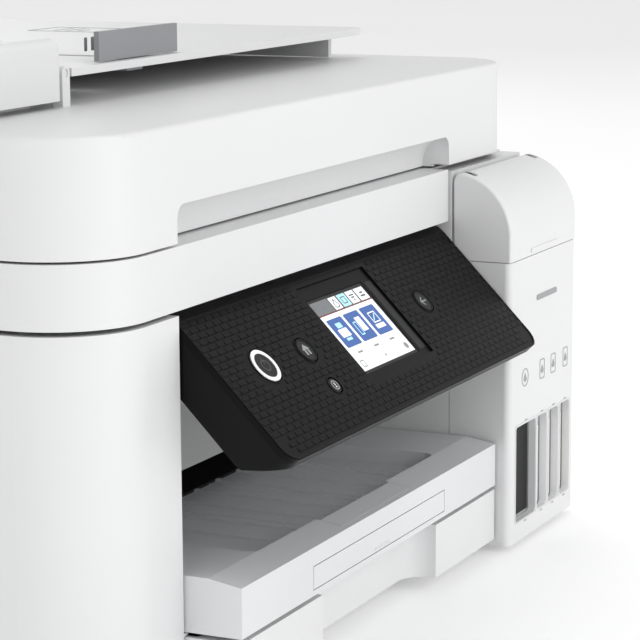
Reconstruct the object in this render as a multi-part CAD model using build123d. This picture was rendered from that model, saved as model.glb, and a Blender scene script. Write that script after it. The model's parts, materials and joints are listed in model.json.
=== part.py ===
"""All-in-one ink-tank printer: every moulded part, roller, glass and board as its own solid.

Frame: X to the right, Y to the back, Z up, millimetres. The origin is the centre of the
footprint, at the level that the rubber feet stand on.
"""
from build123d import *
import os
from math import cos, radians, sin, sqrt

os.makedirs("parts", exist_ok=True)

# ---------------------------------------------------------------- overall sizes
WIDTH = 375.0             # across the casing
CASING_DEPTH = 319.5      # front plane of the casing to its back
PANEL_REACH = 41.5        # how far the tilted panel stands out in front of the casing
BODY_TOP = 141.3          # top edge of the lower casing
FOOT_HEIGHT = 3.0
WALL = 2.5                # casing wall
CORNER_RADIUS = 32.0      # large vertical corners, in plan
BACK_RADIUS = 12.0        # vertical corners at the back, in plan
EDGE_RADIUS = 3.0         # small vertical edges

# ---------------------------------------------------------------- clearances
GAP = 0.4                 # between pieces of different bodies
FIT = 0.05                # radial, round a turning pin or a sliding rod
FIXED_GAP = 0.3           # between fixed covers

# ---------------------------------------------------------------- front opening and tank unit
COLUMN_WIDTH = 54.7       # left front column
TANK_WIDTH = 80.9         # tank unit, across
TANK_REACH = 28.0         # tank unit in front of the casing
TANK_SPLIT = 126.1        # top edge of the tank housing, under the hood
HOOD_TOP = 164.0
HOOD_RADIUS = 27.0        # rounding of the hood's top front edge
TOWER_DEPTH = 9.0         # raised rest behind the hood
TOWER_STEP = 1.0          # the rest stands this far in front of the casing

# ---------------------------------------------------------------- scanner and lid
SCANNER_LIFT = 1.7        # gap between casing and scanner unit
SCANNER_HEIGHT = 21.9
LID_LIFT = 0.9            # gap between scanner unit and lid
LID_HEIGHT = 40.2
SCANNER_BACK = 9.0        # scanner unit ends this far in front of the casing's back
LID_BACK = 20.5           # the lid ends this far in front of the casing's back
GLASS_WIDTH = 303.0
GLASS_DEPTH = 222.0

# ---------------------------------------------------------------- control panel
PANEL_THICKNESS = 17.2
PANEL_FACE_LENGTH = 62.9  # from the hinge line down to the face's lower edge
PANEL_TILT = 44.4         # degrees from upright, as the panel stands
PANEL_CORNER = 7.0         # rounding of the face's two lower corners
PANEL_SIDE_GAP = 1.0
FACE_PLATE = 2.2
BUTTON_TRAVEL = 0.7
PANEL_PIN_RADIUS = 3.0

# ---------------------------------------------------------------- paper handling
PAPER_WIDTH = 210.0
PAPER_LENGTH = 297.0
CASSETTE_LIFT = 6.5       # bottom of the cassette
CASSETTE_TOP = 28.5
TRAY_BOTTOM = 30.3
TRAY_FLOOR = 44.0
TRAY_LIP = 48.4
TRAY_TOP = 50.5
TRAY_REACH = 22.0         # lip of the tray in front of the casing
FEED_RADIUS = 6.0
EJECT_RADIUS = 5.0
ROD_RADIUS = 3.0

# ---------------------------------------------------------------- planes worked out from them
LEFT, RIGHT = -WIDTH / 2, WIDTH / 2
FRONT = PANEL_REACH - (CASING_DEPTH + PANEL_REACH) / 2
BACK = FRONT + CASING_DEPTH
BASE = FOOT_HEIGHT
OPEN_LEFT = LEFT + COLUMN_WIDTH
OPEN_RIGHT = RIGHT - TANK_WIDTH
OPEN_MIDDLE = (OPEN_LEFT + OPEN_RIGHT) / 2
TANK_FRONT = FRONT - TANK_REACH
TOWER_FRONT = FRONT - TOWER_STEP
TOWER_BACK = TOWER_FRONT + TOWER_DEPTH
SCAN_BOTTOM = BODY_TOP + SCANNER_LIFT
SCAN_TOP = SCAN_BOTTOM + SCANNER_HEIGHT
SCAN_REAR = BACK - SCANNER_BACK
LID_BOTTOM = SCAN_TOP + LID_LIFT
LID_TOP = LID_BOTTOM + LID_HEIGHT
LID_REAR = BACK - LID_BACK


# ---------------------------------------------------------------- helpers
def block(x0, x1, y0, y1, z0, z1):
    """Box between two corners."""
    middle = Pos((x0 + x1) / 2, (y0 + y1) / 2, (z0 + z1) / 2)
    return middle * Box(x1 - x0, y1 - y0, z1 - z0)


def rod_x(x0, x1, y, z, radius):
    """Round bar along X."""
    return Pos((x0 + x1) / 2, y, z) * Rot(0, 90, 0) * Cylinder(radius, x1 - x0)


def rod_y(y0, y1, x, z, radius):
    """Round bar along Y."""
    return Pos(x, (y0 + y1) / 2, z) * Rot(90, 0, 0) * Cylinder(radius, y1 - y0)


def rod_z(z0, z1, x, y, radius):
    """Round bar along Z."""
    return Pos(x, y, (z0 + z1) / 2) * Cylinder(radius, z1 - z0)


def plan_face(x0, x1, y0, y1, radii):
    """Rectangle with its own corner radius at front left, front right, back right, back left."""
    corners = [(x0, y0), (x1, y0), (x1, y1), (x0, y1)]
    face = make_face(Polyline(*corners, close=True))
    for corner, radius in zip(corners, radii):
        if radius > 0:
            vertex = face.vertices().sort_by_distance((corner[0], corner[1], 0))[0]
            face = fillet(vertex, radius)
    return face


def slab(x0, x1, y0, y1, z0, z1, radii):
    """Plate or block with rounded vertical edges."""
    return extrude(Pos(0, 0, z0) * plan_face(x0, x1, y0, y1, radii), z1 - z0)


def prism_x(outline, x0, x1):
    """Closed outline of (Y, Z) points, extruded along X."""
    face = make_face(Polyline(*outline, close=True))
    return extrude(Plane.YZ.offset(x0) * face, x1 - x0)


def curve_prism_x(curves, x0, x1):
    """Closed loop of curves in (Y, Z), extruded along X."""
    return extrude(Plane.YZ.offset(x0) * make_face(curves), x1 - x0)


def arc(centre, radius, start, end):
    """Arc about a centre between two angles in degrees."""
    points = [
        (centre[0] + radius * cos(radians(a)), centre[1] + radius * sin(radians(a)))
        for a in (start, (start + end) / 2, end)
    ]
    return ThreePointArc(*points)


def save(shape, node):
    export_step(shape, f"parts/{node}.step")


# ---------------------------------------------------------------- hinge lines
PANEL_AXIS_Y = FRONT + PANEL_THICKNESS / 2
PANEL_AXIS_Z = BODY_TOP - PANEL_THICKNESS / 2 + 0.2
HOOD_BACK = TOWER_FRONT - 0.5
HOOD_ROUND = 4.4
HOOD_AXIS_Y = HOOD_BACK - HOOD_ROUND
HOOD_ARC_Y, HOOD_ARC_Z = TANK_FRONT + HOOD_RADIUS, HOOD_TOP - HOOD_RADIUS
HOOD_AXIS_Z = HOOD_ARC_Z + sqrt((HOOD_RADIUS - HOOD_ROUND) ** 2 - (HOOD_AXIS_Y - HOOD_ARC_Y) ** 2)
HOOD_PIN = 1.5
HOOD_WALL = 1.5
HOOD_SIDE = 2.0
KNUCKLE = 3.0             # width of one hood knuckle
KNUCKLE_INSET = WALL + GAP  # from the hood's outer side to its knuckle
SCAN_HINGE_Y, SCAN_HINGE_Z = SCAN_REAR + 4.5, SCAN_BOTTOM + 3.5
LID_HINGE_Y, LID_HINGE_Z = LID_REAR + 6.0, SCAN_TOP + 5.1
HINGE_ROUND = 4.0
HINGE_PIN = 2.5
HINGE_ARM = 12.0          # width of a hinge arm of the scanner unit or the lid
HINGE_LUG = 4.6
SCAN_HINGE_X = WIDTH / 2 - 37.5
LID_HINGE_X = WIDTH / 2 - 67.5
PANEL_LEFT = OPEN_LEFT + PANEL_SIDE_GAP
PANEL_RIGHT = OPEN_RIGHT - PANEL_SIDE_GAP - 0.9

# ---------------------------------------------------------------- paper path
PATH_Z = 54.0             # height of the paper over the platen
FEED_Y, EJECT_Y = 35.0, -12.0
SHEET_LEFT = OPEN_MIDDLE - PAPER_WIDTH / 2
INNER_WALL_Y = FRONT + 60.5
SIDE_FRAME_BACK = FEED_Y + 16.0
RAIL_Y, RAIL_Z = 62.0, 100.0

# ---------------------------------------------------------------- ink tanks
TANK_PITCH = 14.7
TANK_BOTTOM, TANK_TOP = 8.0, 118.0
TANK_LENGTH = 78.0
FRONT_SKIN = 3.2          # tank housing's front wall, as deep as its windows
WINDOW_BOTTOM, WINDOW_TOP = 11.9, 53.8
WINDOW_WIDTH, BLACK_WINDOW_WIDTH = 11.6, 24.1
LAST_TANK_X = RIGHT - 12.1
COLOUR_TANKS = {
    "ink_tank_cyan": LAST_TANK_X - 2 * TANK_PITCH,
    "ink_tank_magenta": LAST_TANK_X - TANK_PITCH,
    "ink_tank_yellow": LAST_TANK_X,
}
BLACK_WINDOW_X = OPEN_RIGHT + 19.65
BLACK_TANK_X = OPEN_RIGHT + 17.9
PORT_Y = TANK_FRONT + 11.0
PORT_BLOCK_TOP = TANK_TOP + 4.5
PORT_TOP = PORT_BLOCK_TOP + 6.5
PORT_RADIUS, PORT_BORE = 4.4, 3.2
CAP_WIDTH, CAP_THICKNESS = 9.5, 2.6
CAP_AXIS_Y = PORT_Y + 6.8
CAP_AXIS_Z = PORT_TOP + GAP + CAP_THICKNESS / 2
CAP_PIN = 0.9

# ---------------------------------------------------------------- casing screws
DECK_TOP = BODY_TOP - 0.3
DECK_THICKNESS = 2.5
SCREW_RADIUS = 1.5
POST_RADIUS = 4.0
SCREW_PLACES = [
    (LEFT + 12, FRONT + 55), (LEFT + 12, BACK - 12), (RIGHT - 12, BACK - 12), (RIGHT - 12, FRONT + 62),
]

# ---------------------------------------------------------------- back of the casing
SLOT_LEFT, SLOT_RIGHT = OPEN_MIDDLE - 100, OPEN_MIDDLE + 100
SLOT_BOTTOM, SLOT_TOP = 55.0, 128.0
INLET_X, INLET_Z = LEFT + 30.0, 30.0
INLET_WIDTH, INLET_HEIGHT = 20.0, 12.0
SOCKETS = {LEFT + 60.0: (12.5, 11.0), RIGHT - 45.0: (16.5, 13.5)}
SOCKET_Z = 44.0
WASTE_X, WASTE_Z = RIGHT - 45.0, 75.0
WASTE_WIDTH, WASTE_HEIGHT = 50.0, 40.0


# ---------------------------------------------------------------- lower casing
def rear_openings():
    """Everything cut through the back wall of the casing."""
    y0, y1 = BACK - WALL - 1, BACK + 1
    cuts = [block(SLOT_LEFT, SLOT_RIGHT, y0, y1, SLOT_BOTTOM, SLOT_TOP)]
    cuts.append(block(INLET_X - INLET_WIDTH / 2, INLET_X + INLET_WIDTH / 2, y0, y1,
                      INLET_Z - INLET_HEIGHT / 2, INLET_Z + INLET_HEIGHT / 2))
    for x, (wide, high) in SOCKETS.items():
        cuts.append(block(x - wide / 2, x + wide / 2, y0, y1, SOCKET_Z - high / 2, SOCKET_Z + high / 2))
    cuts.append(block(WASTE_X - WASTE_WIDTH / 2, WASTE_X + WASTE_WIDTH / 2, y0, y1,
                      WASTE_Z - WASTE_HEIGHT / 2, WASTE_Z + WASTE_HEIGHT / 2))
    return cuts


def hinge_lugs(x, y, z, foot, shift):
    """Two fixed lugs beside a hinge arm, bored for its pins; foot is the level they stand on."""
    lugs = []
    for side in (-1, 1):
        inner = x + side * (HINGE_ARM / 2 + GAP)
        outer = inner + side * HINGE_LUG
        x0, x1 = min(inner, outer), max(inner, outer)
        lug = block(x0, x1, y - HINGE_ROUND + shift, y + HINGE_ROUND + shift, foot, z)
        lug += rod_x(x0, x1, y, z, HINGE_ROUND)
        lugs.append(lug - rod_x(x0 - 1, x1 + 1, y, z, HINGE_PIN + FIT))
    return lugs


def hinge_arm(x, y, z, root):
    """Arm with an integral pin at each side, reaching from a rear wall at Y = root."""
    arm = block(x - HINGE_ARM / 2, x + HINGE_ARM / 2, root, y, z - 3.7, z + 3.7)
    arm += rod_x(x - HINGE_ARM / 2, x + HINGE_ARM / 2, y, z, HINGE_ROUND)
    reach = HINGE_ARM / 2 + GAP + HINGE_LUG
    return arm + rod_x(x - reach, x + reach, y, z, HINGE_PIN)


def base_casing():
    """Tub with a front opening, side frames for the rollers, and the rest behind the hood."""
    outer = slab(LEFT, RIGHT, FRONT, BACK, BASE, BODY_TOP,
                 (CORNER_RADIUS, EDGE_RADIUS, BACK_RADIUS, BACK_RADIUS))
    inner = slab(LEFT + WALL, RIGHT - WALL, FRONT + WALL, BACK - WALL, BASE + WALL, BODY_TOP + 1,
                 (CORNER_RADIUS - WALL, 0.5, BACK_RADIUS - WALL, BACK_RADIUS - WALL))
    casing = outer - inner
    casing -= block(OPEN_LEFT, OPEN_RIGHT, FRONT - 1, FRONT + WALL + 1, BASE + WALL, BODY_TOP + 1)
    casing -= block(OPEN_RIGHT + WALL + 0.5, RIGHT - WALL - 0.5, FRONT - 1, FRONT + WALL + 1,
                    TANK_BOTTOM - 1, TANK_TOP + 1)
    for x0 in (OPEN_LEFT - WALL, OPEN_RIGHT):
        casing += block(x0, x0 + WALL, FRONT, SIDE_FRAME_BACK, BASE, PATH_Z + 1)
        casing += block(x0, x0 + WALL, EJECT_Y - 4, EJECT_Y + 4, BASE, PATH_Z + 8.5)
        casing += block(x0, x0 + WALL, FRONT, INNER_WALL_Y + 16, BASE, BODY_TOP - 3.5)
        casing += block(x0, x0 + WALL, FRONT, PANEL_AXIS_Y + 11.4, BASE, BODY_TOP)
    for x0 in (OPEN_LEFT - 1, OPEN_RIGHT - 3):
        casing += block(x0, x0 + 4, FRONT, EJECT_Y - 15, CASSETTE_TOP + GAP, TRAY_BOTTOM - GAP)
    for y, radius in ((FEED_Y, FEED_RADIUS), (EJECT_Y, EJECT_RADIUS)):
        casing -= rod_x(OPEN_LEFT - WALL - 1, OPEN_RIGHT + WALL + 1, y, PATH_Z - radius, ROD_RADIUS + FIT)
    for x, y in SCREW_PLACES:
        casing += rod_z(BASE + 1, DECK_TOP - DECK_THICKNESS, x, y, POST_RADIUS)
        casing -= rod_z(DECK_TOP - 14, DECK_TOP, x, y, SCREW_RADIUS)
    casing += block(OPEN_RIGHT, RIGHT, TOWER_FRONT, TOWER_BACK, TANK_SPLIT + FIXED_GAP, HOOD_TOP)
    casing -= block(OPEN_RIGHT + 2, RIGHT - 2, TOWER_FRONT + 2, TOWER_BACK - 2, TANK_TOP + 1, HOOD_TOP - 2)
    casing -= rod_x(OPEN_LEFT - WALL - 1, OPEN_RIGHT + WALL + 1, PANEL_AXIS_Y, PANEL_AXIS_Z,
                    PANEL_PIN_RADIUS + FIT)
    for cut in rear_openings():
        casing -= cut
    for x in (-SCAN_HINGE_X, SCAN_HINGE_X):
        for lug in hinge_lugs(x, SCAN_HINGE_Y, SCAN_HINGE_Z, BODY_TOP - 10, 0.5):
            casing += lug
    return casing


def top_deck():
    """Moulded deck inside the casing's rim, open over the carriage."""
    edge = WALL + FIXED_GAP
    deck = slab(LEFT + edge, RIGHT - edge, FRONT + edge, BACK - edge, DECK_TOP - DECK_THICKNESS, DECK_TOP,
                (CORNER_RADIUS - edge, 0.5, BACK_RADIUS - edge, BACK_RADIUS - edge))
    deck -= block(OPEN_LEFT - edge, OPEN_RIGHT + edge, FRONT - 1, PANEL_AXIS_Y + 12, 0, HOOD_TOP)
    deck -= block(OPEN_RIGHT + 1, RIGHT + 1, FRONT - 1, TOWER_BACK + FIXED_GAP, 0, HOOD_TOP)
    deck -= slab(LEFT + 38, RIGHT - 38, -65, 95, 0, HOOD_TOP, (6, 6, 6, 6))
    for x in (-SCAN_HINGE_X, SCAN_HINGE_X):
        half = HINGE_ARM / 2 + GAP + HINGE_LUG + FIXED_GAP
        deck -= block(x - half, x + half, SCAN_HINGE_Y - HINGE_ROUND, BACK, 0, HOOD_TOP)
    for x, y in SCREW_PLACES:
        deck -= rod_z(DECK_TOP - 5, DECK_TOP + 1, x, y, SCREW_RADIUS)
    return deck


def casing_screws():
    """Pan-head screws that hold the deck on the casing's posts."""
    group = []
    for x, y in SCREW_PLACES:
        screw = rod_z(DECK_TOP - 12, DECK_TOP + 1, x, y, SCREW_RADIUS)
        screw += rod_z(DECK_TOP, DECK_TOP + 1.3, x, y, 2 * SCREW_RADIUS)
        group.append(screw - block(x - 2, x + 2, y - 0.3, y + 0.3, DECK_TOP + 0.7, DECK_TOP + 2))
    return Compound(children=group)


def inner_front_wall():
    """Grey wall above the paper exit, behind the control panel."""
    x0, x1 = OPEN_LEFT + FIXED_GAP, OPEN_RIGHT - FIXED_GAP
    wall = block(x0, x1, INNER_WALL_Y, INNER_WALL_Y + 2, PATH_Z + 3, DECK_TOP - DECK_THICKNESS - 0.2)
    return wall + block(x0, x1, INNER_WALL_Y, INNER_WALL_Y + 14, PATH_Z + 3, PATH_Z + 5)


def rubber_feet():
    """Five round feet under the casing's floor."""
    places = [(LEFT + 35, FRONT + 35), (LEFT + 25, BACK - 25), (RIGHT - 25, BACK - 25),
              (RIGHT - 25, FRONT + 25), (OPEN_RIGHT + 30, FRONT + 25)]
    return Compound(children=[Pos(x, y, BASE / 2) * Cylinder(6, BASE) for x, y in places])


# ---------------------------------------------------------------- ink supply
def window_places():
    """Centre and width of each window in the tank housing's front."""
    places = [(BLACK_WINDOW_X, BLACK_WINDOW_WIDTH)]
    return places + [(x, WINDOW_WIDTH) for x in COLOUR_TANKS.values()]


def tank_housing():
    """Front unit round the ink tanks, open to the casing, with four level windows."""
    y1 = FRONT - FIXED_GAP
    housing = slab(OPEN_RIGHT, RIGHT, TANK_FRONT, y1, BASE, TANK_SPLIT, (EDGE_RADIUS, EDGE_RADIUS, 0, 0))
    housing -= block(OPEN_RIGHT + WALL, RIGHT - WALL, TANK_FRONT + FRONT_SKIN, y1 + 1,
                     BASE + WALL, TANK_SPLIT + 1)
    for x, width in window_places():
        window = Pos(x, TANK_FRONT, (WINDOW_BOTTOM + WINDOW_TOP) / 2) * Rot(90, 0, 0) * extrude(
            RectangleRounded(width, WINDOW_TOP - WINDOW_BOTTOM, 2.0), FRONT_SKIN + 1, both=True)
        housing -= window
    return housing


def ink_tank(x, width):
    """Hollow translucent tank with a filling hole under its port."""
    y0 = TANK_FRONT + FRONT_SKIN + FIXED_GAP
    y1 = y0 + TANK_LENGTH
    wall = 1.5
    tank = slab(x - width / 2, x + width / 2, y0, y1, TANK_BOTTOM, TANK_TOP, (1, 1, 1, 1))
    tank -= block(x - width / 2 + wall, x + width / 2 - wall, y0 + wall, y1 - wall,
                  TANK_BOTTOM + wall, TANK_TOP - wall)
    return tank - rod_z(TANK_TOP - 5, TANK_TOP + 1, x, PORT_Y, PORT_BORE)


def port_places():
    return [BLACK_TANK_X + 1.5] + list(COLOUR_TANKS.values())


def filler_port_block():
    """Deck over the tanks with four filling necks and the caps' hinge posts."""
    x0, x1 = OPEN_RIGHT + WALL + FIXED_GAP, RIGHT - WALL - FIXED_GAP
    deck = block(x0, x1, TANK_FRONT + FRONT_SKIN + FIXED_GAP, TOWER_FRONT - FIXED_GAP,
                 TANK_TOP, PORT_BLOCK_TOP)
    for x in port_places():
        deck += rod_z(TANK_TOP, PORT_TOP, x, PORT_Y, PORT_RADIUS)
        deck -= rod_z(TANK_TOP - 1, PORT_TOP + 1, x, PORT_Y, PORT_BORE)
        for side in (-1, 1):
            post = x + side * (CAP_WIDTH / 2 + GAP + 0.8)
            deck += block(post - 0.8, post + 0.8, CAP_AXIS_Y - 1.6, CAP_AXIS_Y + 1.6,
                          PORT_BLOCK_TOP, CAP_AXIS_Z + 1.6)
            tip = x + side * (CAP_WIDTH / 2 - 1.6)
            deck += rod_x(min(tip, post), max(tip, post), CAP_AXIS_Y, CAP_AXIS_Z, CAP_PIN)
    for x0 in (OPEN_RIGHT + KNUCKLE_INSET, RIGHT - KNUCKLE_INSET - KNUCKLE):
        foot_y = HOOD_AXIS_Y + HOOD_ROUND - 0.3
        post = block(x0, x0 + KNUCKLE, HOOD_AXIS_Y - 3, foot_y - 0.4, PORT_BLOCK_TOP - 1, HOOD_AXIS_Z)
        post += rod_x(x0, x0 + KNUCKLE, HOOD_AXIS_Y, HOOD_AXIS_Z, HOOD_ROUND - 0.3)
        deck += post - rod_x(x0 - 1, x0 + KNUCKLE + 1, HOOD_AXIS_Y, HOOD_AXIS_Z, HOOD_PIN + FIT)
    return deck


def filler_cap(x):
    """Hinged cap: a plate over the neck, a short plug into it and a bored hinge barrel."""
    half = CAP_WIDTH / 2
    z0, z1 = CAP_AXIS_Z - CAP_THICKNESS / 2, CAP_AXIS_Z + CAP_THICKNESS / 2
    cap = slab(x - half, x + half, PORT_Y - 6.0, CAP_AXIS_Y, z0, z1, (3, 3, 0, 0))
    cap += rod_x(x - half, x + half, CAP_AXIS_Y, CAP_AXIS_Z, CAP_THICKNESS / 2 + 0.3)
    cap += rod_z(z0 - 1.6, z0 + 0.5, x, PORT_Y, PORT_BORE - 0.7)
    return cap - rod_x(x - half - 1, x + half + 1, CAP_AXIS_Y, CAP_AXIS_Z, CAP_PIN + FIT)


def hood_outline(inset):
    """Side outline of the hood, moved in by a wall."""
    radius, rounding = HOOD_RADIUS - inset, HOOD_ROUND - inset
    top = (HOOD_ARC_Y, HOOD_ARC_Z)
    meet = (HOOD_AXIS_Y - HOOD_ARC_Y, HOOD_AXIS_Z - HOOD_ARC_Z)
    length = sqrt(meet[0] ** 2 + meet[1] ** 2)
    touch = (top[0] + meet[0] / length * radius, top[1] + meet[1] / length * radius)
    half_way = radius / sqrt(2)
    shoulder = (HOOD_AXIS_Y + rounding * 0.64, HOOD_AXIS_Z + rounding * sqrt(1 - 0.64 ** 2))
    bottom = TANK_SPLIT + FIXED_GAP - inset
    back, front = HOOD_AXIS_Y + rounding, HOOD_ARC_Y - radius
    return [
        Line((back, bottom), (back, HOOD_AXIS_Z)),
        ThreePointArc((back, HOOD_AXIS_Z), shoulder, touch),
        ThreePointArc(touch, (top[0] - half_way, top[1] + half_way), (front, top[1])),
        Line((front, top[1]), (front, bottom)),
        Line((front, bottom), (back, bottom)),
    ]


def tank_cover():
    """Hood over the filling caps, hinged on two knuckles at its top back edge."""
    hood = curve_prism_x(hood_outline(0), OPEN_RIGHT, RIGHT)
    hollow = curve_prism_x(hood_outline(HOOD_WALL), OPEN_RIGHT + HOOD_SIDE, RIGHT - HOOD_SIDE)
    hollow += block(OPEN_RIGHT + HOOD_SIDE, RIGHT - HOOD_SIDE, HOOD_AXIS_Y - 2, HOOD_BACK + 1,
                    TANK_SPLIT - 1, HOOD_AXIS_Z)
    edges = hood.edges().filter_by(GeomType.CIRCLE).filter_by(lambda e: e.radius > HOOD_ROUND + 1)
    hood = fillet(edges, 1.2)
    hood -= hollow
    for side, outer in ((1, OPEN_RIGHT), (-1, RIGHT)):
        x = outer + side * HOOD_SIDE
        tip = outer + side * (KNUCKLE_INSET + KNUCKLE)
        notch = tip + side * GAP
        hood -= block(min(x, notch), max(x, notch), HOOD_AXIS_Y - HOOD_ROUND - GAP, HOOD_BACK + 1,
                      HOOD_AXIS_Z - 8, HOOD_TOP + 1)
        hood += rod_x(min(x, tip), max(x, tip), HOOD_AXIS_Y, HOOD_AXIS_Z, HOOD_PIN)
    return hood


# ---------------------------------------------------------------- control panel
PANEL_PLANE = Plane(
    origin=(0, PANEL_AXIS_Y, PANEL_AXIS_Z), x_dir=(1, 0, 0),
    z_dir=(0, -cos(radians(PANEL_TILT)), sin(radians(PANEL_TILT))))
SKIN_Z = PANEL_THICKNESS / 2 - FACE_PLATE      # back of the face plate, from the hinge line
FACE_Z = PANEL_THICKNESS / 2                   # outer surface of the face plate
SCREEN_LEFT, SCREEN_WIDTH = PANEL_LEFT + 90.1, 49.4
SCREEN_TOP, SCREEN_HEIGHT = 9.4, 35.0          # measured down the face from the hinge line
BUTTONS = {                                    # node: (X, distance down the face, radius)
    "power_button": (PANEL_LEFT + 31.0, 26.9, 7.0),
    "home_button": (PANEL_LEFT + 63.1, 27.2, 5.2),
    "help_button": (PANEL_LEFT + 62.8, 43.7, 3.2),
    "back_button": (PANEL_LEFT + 172.0, 26.4, 5.2),
}
BOARD_Z = -1.0


def on_panel(shape):
    """Place a shape drawn flat, X across and -Y down the face, on the tilted panel."""
    return PANEL_PLANE.location * shape


def panel_outline(inset):
    """Side outline of the panel as (Y, Z) points of its own flat frame."""
    face, back, foot = FACE_Z, -PANEL_THICKNESS / 2 + inset, -PANEL_FACE_LENGTH + inset
    return [(0, face), (foot, face), (foot - 1.5, face - 2.6), (foot + 10.5, back + 0.6),
            (foot + 12.5, back), (0, back)]


def panel_side(x0, x1, inset):
    body = prism_x(panel_outline(inset), x0, x1)
    return body + rod_x(x0, x1, 0, 0, PANEL_THICKNESS / 2 - inset)


def panel_corners(inset):
    """Tall block with the face's outline, round at its two lower corners."""
    radius = PANEL_CORNER - inset
    return slab(PANEL_LEFT + inset, PANEL_RIGHT - inset, -PANEL_FACE_LENGTH + inset, 30, -80, FACE_Z + 1,
                (radius, radius, 0, 0))


def panel_housing():
    """Back shell of the panel with its hinge barrel and two integral hinge pins."""
    shell = panel_side(PANEL_LEFT, PANEL_RIGHT, 0) & panel_corners(0)
    shell -= panel_side(PANEL_LEFT + 2, PANEL_RIGHT - 2, 2) & panel_corners(2)
    shell -= block(PANEL_LEFT - 1, PANEL_RIGHT + 1, -PANEL_FACE_LENGTH, 0, SKIN_Z, FACE_Z + 1)
    left_tip, right_tip = OPEN_LEFT - WALL, OPEN_RIGHT + WALL
    shell += rod_x(left_tip, PANEL_LEFT + 4, 0, 0, PANEL_PIN_RADIUS)
    shell += rod_x(PANEL_RIGHT - 4, right_tip, 0, 0, PANEL_PIN_RADIUS)
    return on_panel(shell)


def panel_face():
    """Black face plate with openings for the screen and the buttons."""
    plate = slab(PANEL_LEFT, PANEL_RIGHT, -PANEL_FACE_LENGTH, -FIXED_GAP / 3, SKIN_Z, FACE_Z,
                 (PANEL_CORNER, PANEL_CORNER, 0, 0))
    x0, x1 = SCREEN_LEFT, SCREEN_LEFT + SCREEN_WIDTH
    y1, y0 = -SCREEN_TOP, -SCREEN_TOP - SCREEN_HEIGHT
    plate -= block(x0 - 1, x1 + 9, y0 - 2.6, y1 + 6, FACE_Z - 0.8, FACE_Z + 1)
    plate -= block(x0 - 0.2, x1 + 0.2, y0 - 0.2, y1 + 0.2, SKIN_Z - 1, FACE_Z + 1)
    for x, down, radius in BUTTONS.values():
        plate -= rod_z(SKIN_Z - 1, FACE_Z + 1, x, -down, radius + GAP)
    return on_panel(plate)


def lcd_module():
    """Screen glass in the face's window, on a wider frame behind the plate."""
    x0, x1 = SCREEN_LEFT, SCREEN_LEFT + SCREEN_WIDTH
    y1, y0 = -SCREEN_TOP, -SCREEN_TOP - SCREEN_HEIGHT
    module = block(x0, x1, y0, y1, SKIN_Z - 3, FACE_Z - 1.1)
    return on_panel(module + block(x0 - 3, x1 + 3, y0 - 3, y1 + 3, SKIN_Z - 3, SKIN_Z))


def panel_board():
    """Circuit board behind the screen and the buttons, with its switch domes."""
    y0, y1 = -PANEL_FACE_LENGTH + 13, -6
    board = block(PANEL_LEFT + 8, SCREEN_LEFT + SCREEN_WIDTH + 60, y0, y1, BOARD_Z, BOARD_Z + 1.6)
    board += block(SCREEN_LEFT + 4, SCREEN_LEFT + SCREEN_WIDTH - 4, y0 + 6, y1 - 6,
                   BOARD_Z + 1.6, SKIN_Z - 3)
    return on_panel(board)


def button(x, down, radius):
    """Key cap with a flange behind the plate and a stem over the board's switch."""
    flange_top = SKIN_Z - FIXED_GAP
    key = rod_z(flange_top - 1.5, FACE_Z + 0.1, x, -down, radius)
    key = chamfer(key.edges().group_by(Axis.Z)[-1], 0.3)
    key += rod_z(flange_top - 1.5, flange_top, x, -down, radius + 1.2)
    key += rod_z(BOARD_Z + 1.6 + BUTTON_TRAVEL + FIXED_GAP, flange_top - 1, x, -down, 1.8)
    return on_panel(key)


# ---------------------------------------------------------------- output tray
TRAY_FRONT = FRONT - TRAY_REACH
TRAY_LEFT, TRAY_RIGHT = OPEN_LEFT + 1.0, OPEN_RIGHT - 1.2
TRAY_BACK = EJECT_Y - EJECT_RADIUS - 8.0
POCKET_LEFT, POCKET_RIGHT = OPEN_MIDDLE - 83.0, OPEN_MIDDLE + 83.0
RIM_DEPTH = 13.0
SLEEVE_BOTTOM, SLEEVE_TOP = TRAY_BOTTOM + 2.0, TRAY_FLOOR - 2.5
SLEEVE_LEFT, SLEEVE_RIGHT = OPEN_MIDDLE - 62.0, OPEN_MIDDLE + 62.0
STOP_LEFT, STOP_RIGHT = OPEN_MIDDLE - 32.0, OPEN_MIDDLE + 32.0
STOP_AXIS_Y, STOP_AXIS_Z = TRAY_FRONT + RIM_DEPTH - 1.6, TRAY_LIP - 1.0


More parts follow.
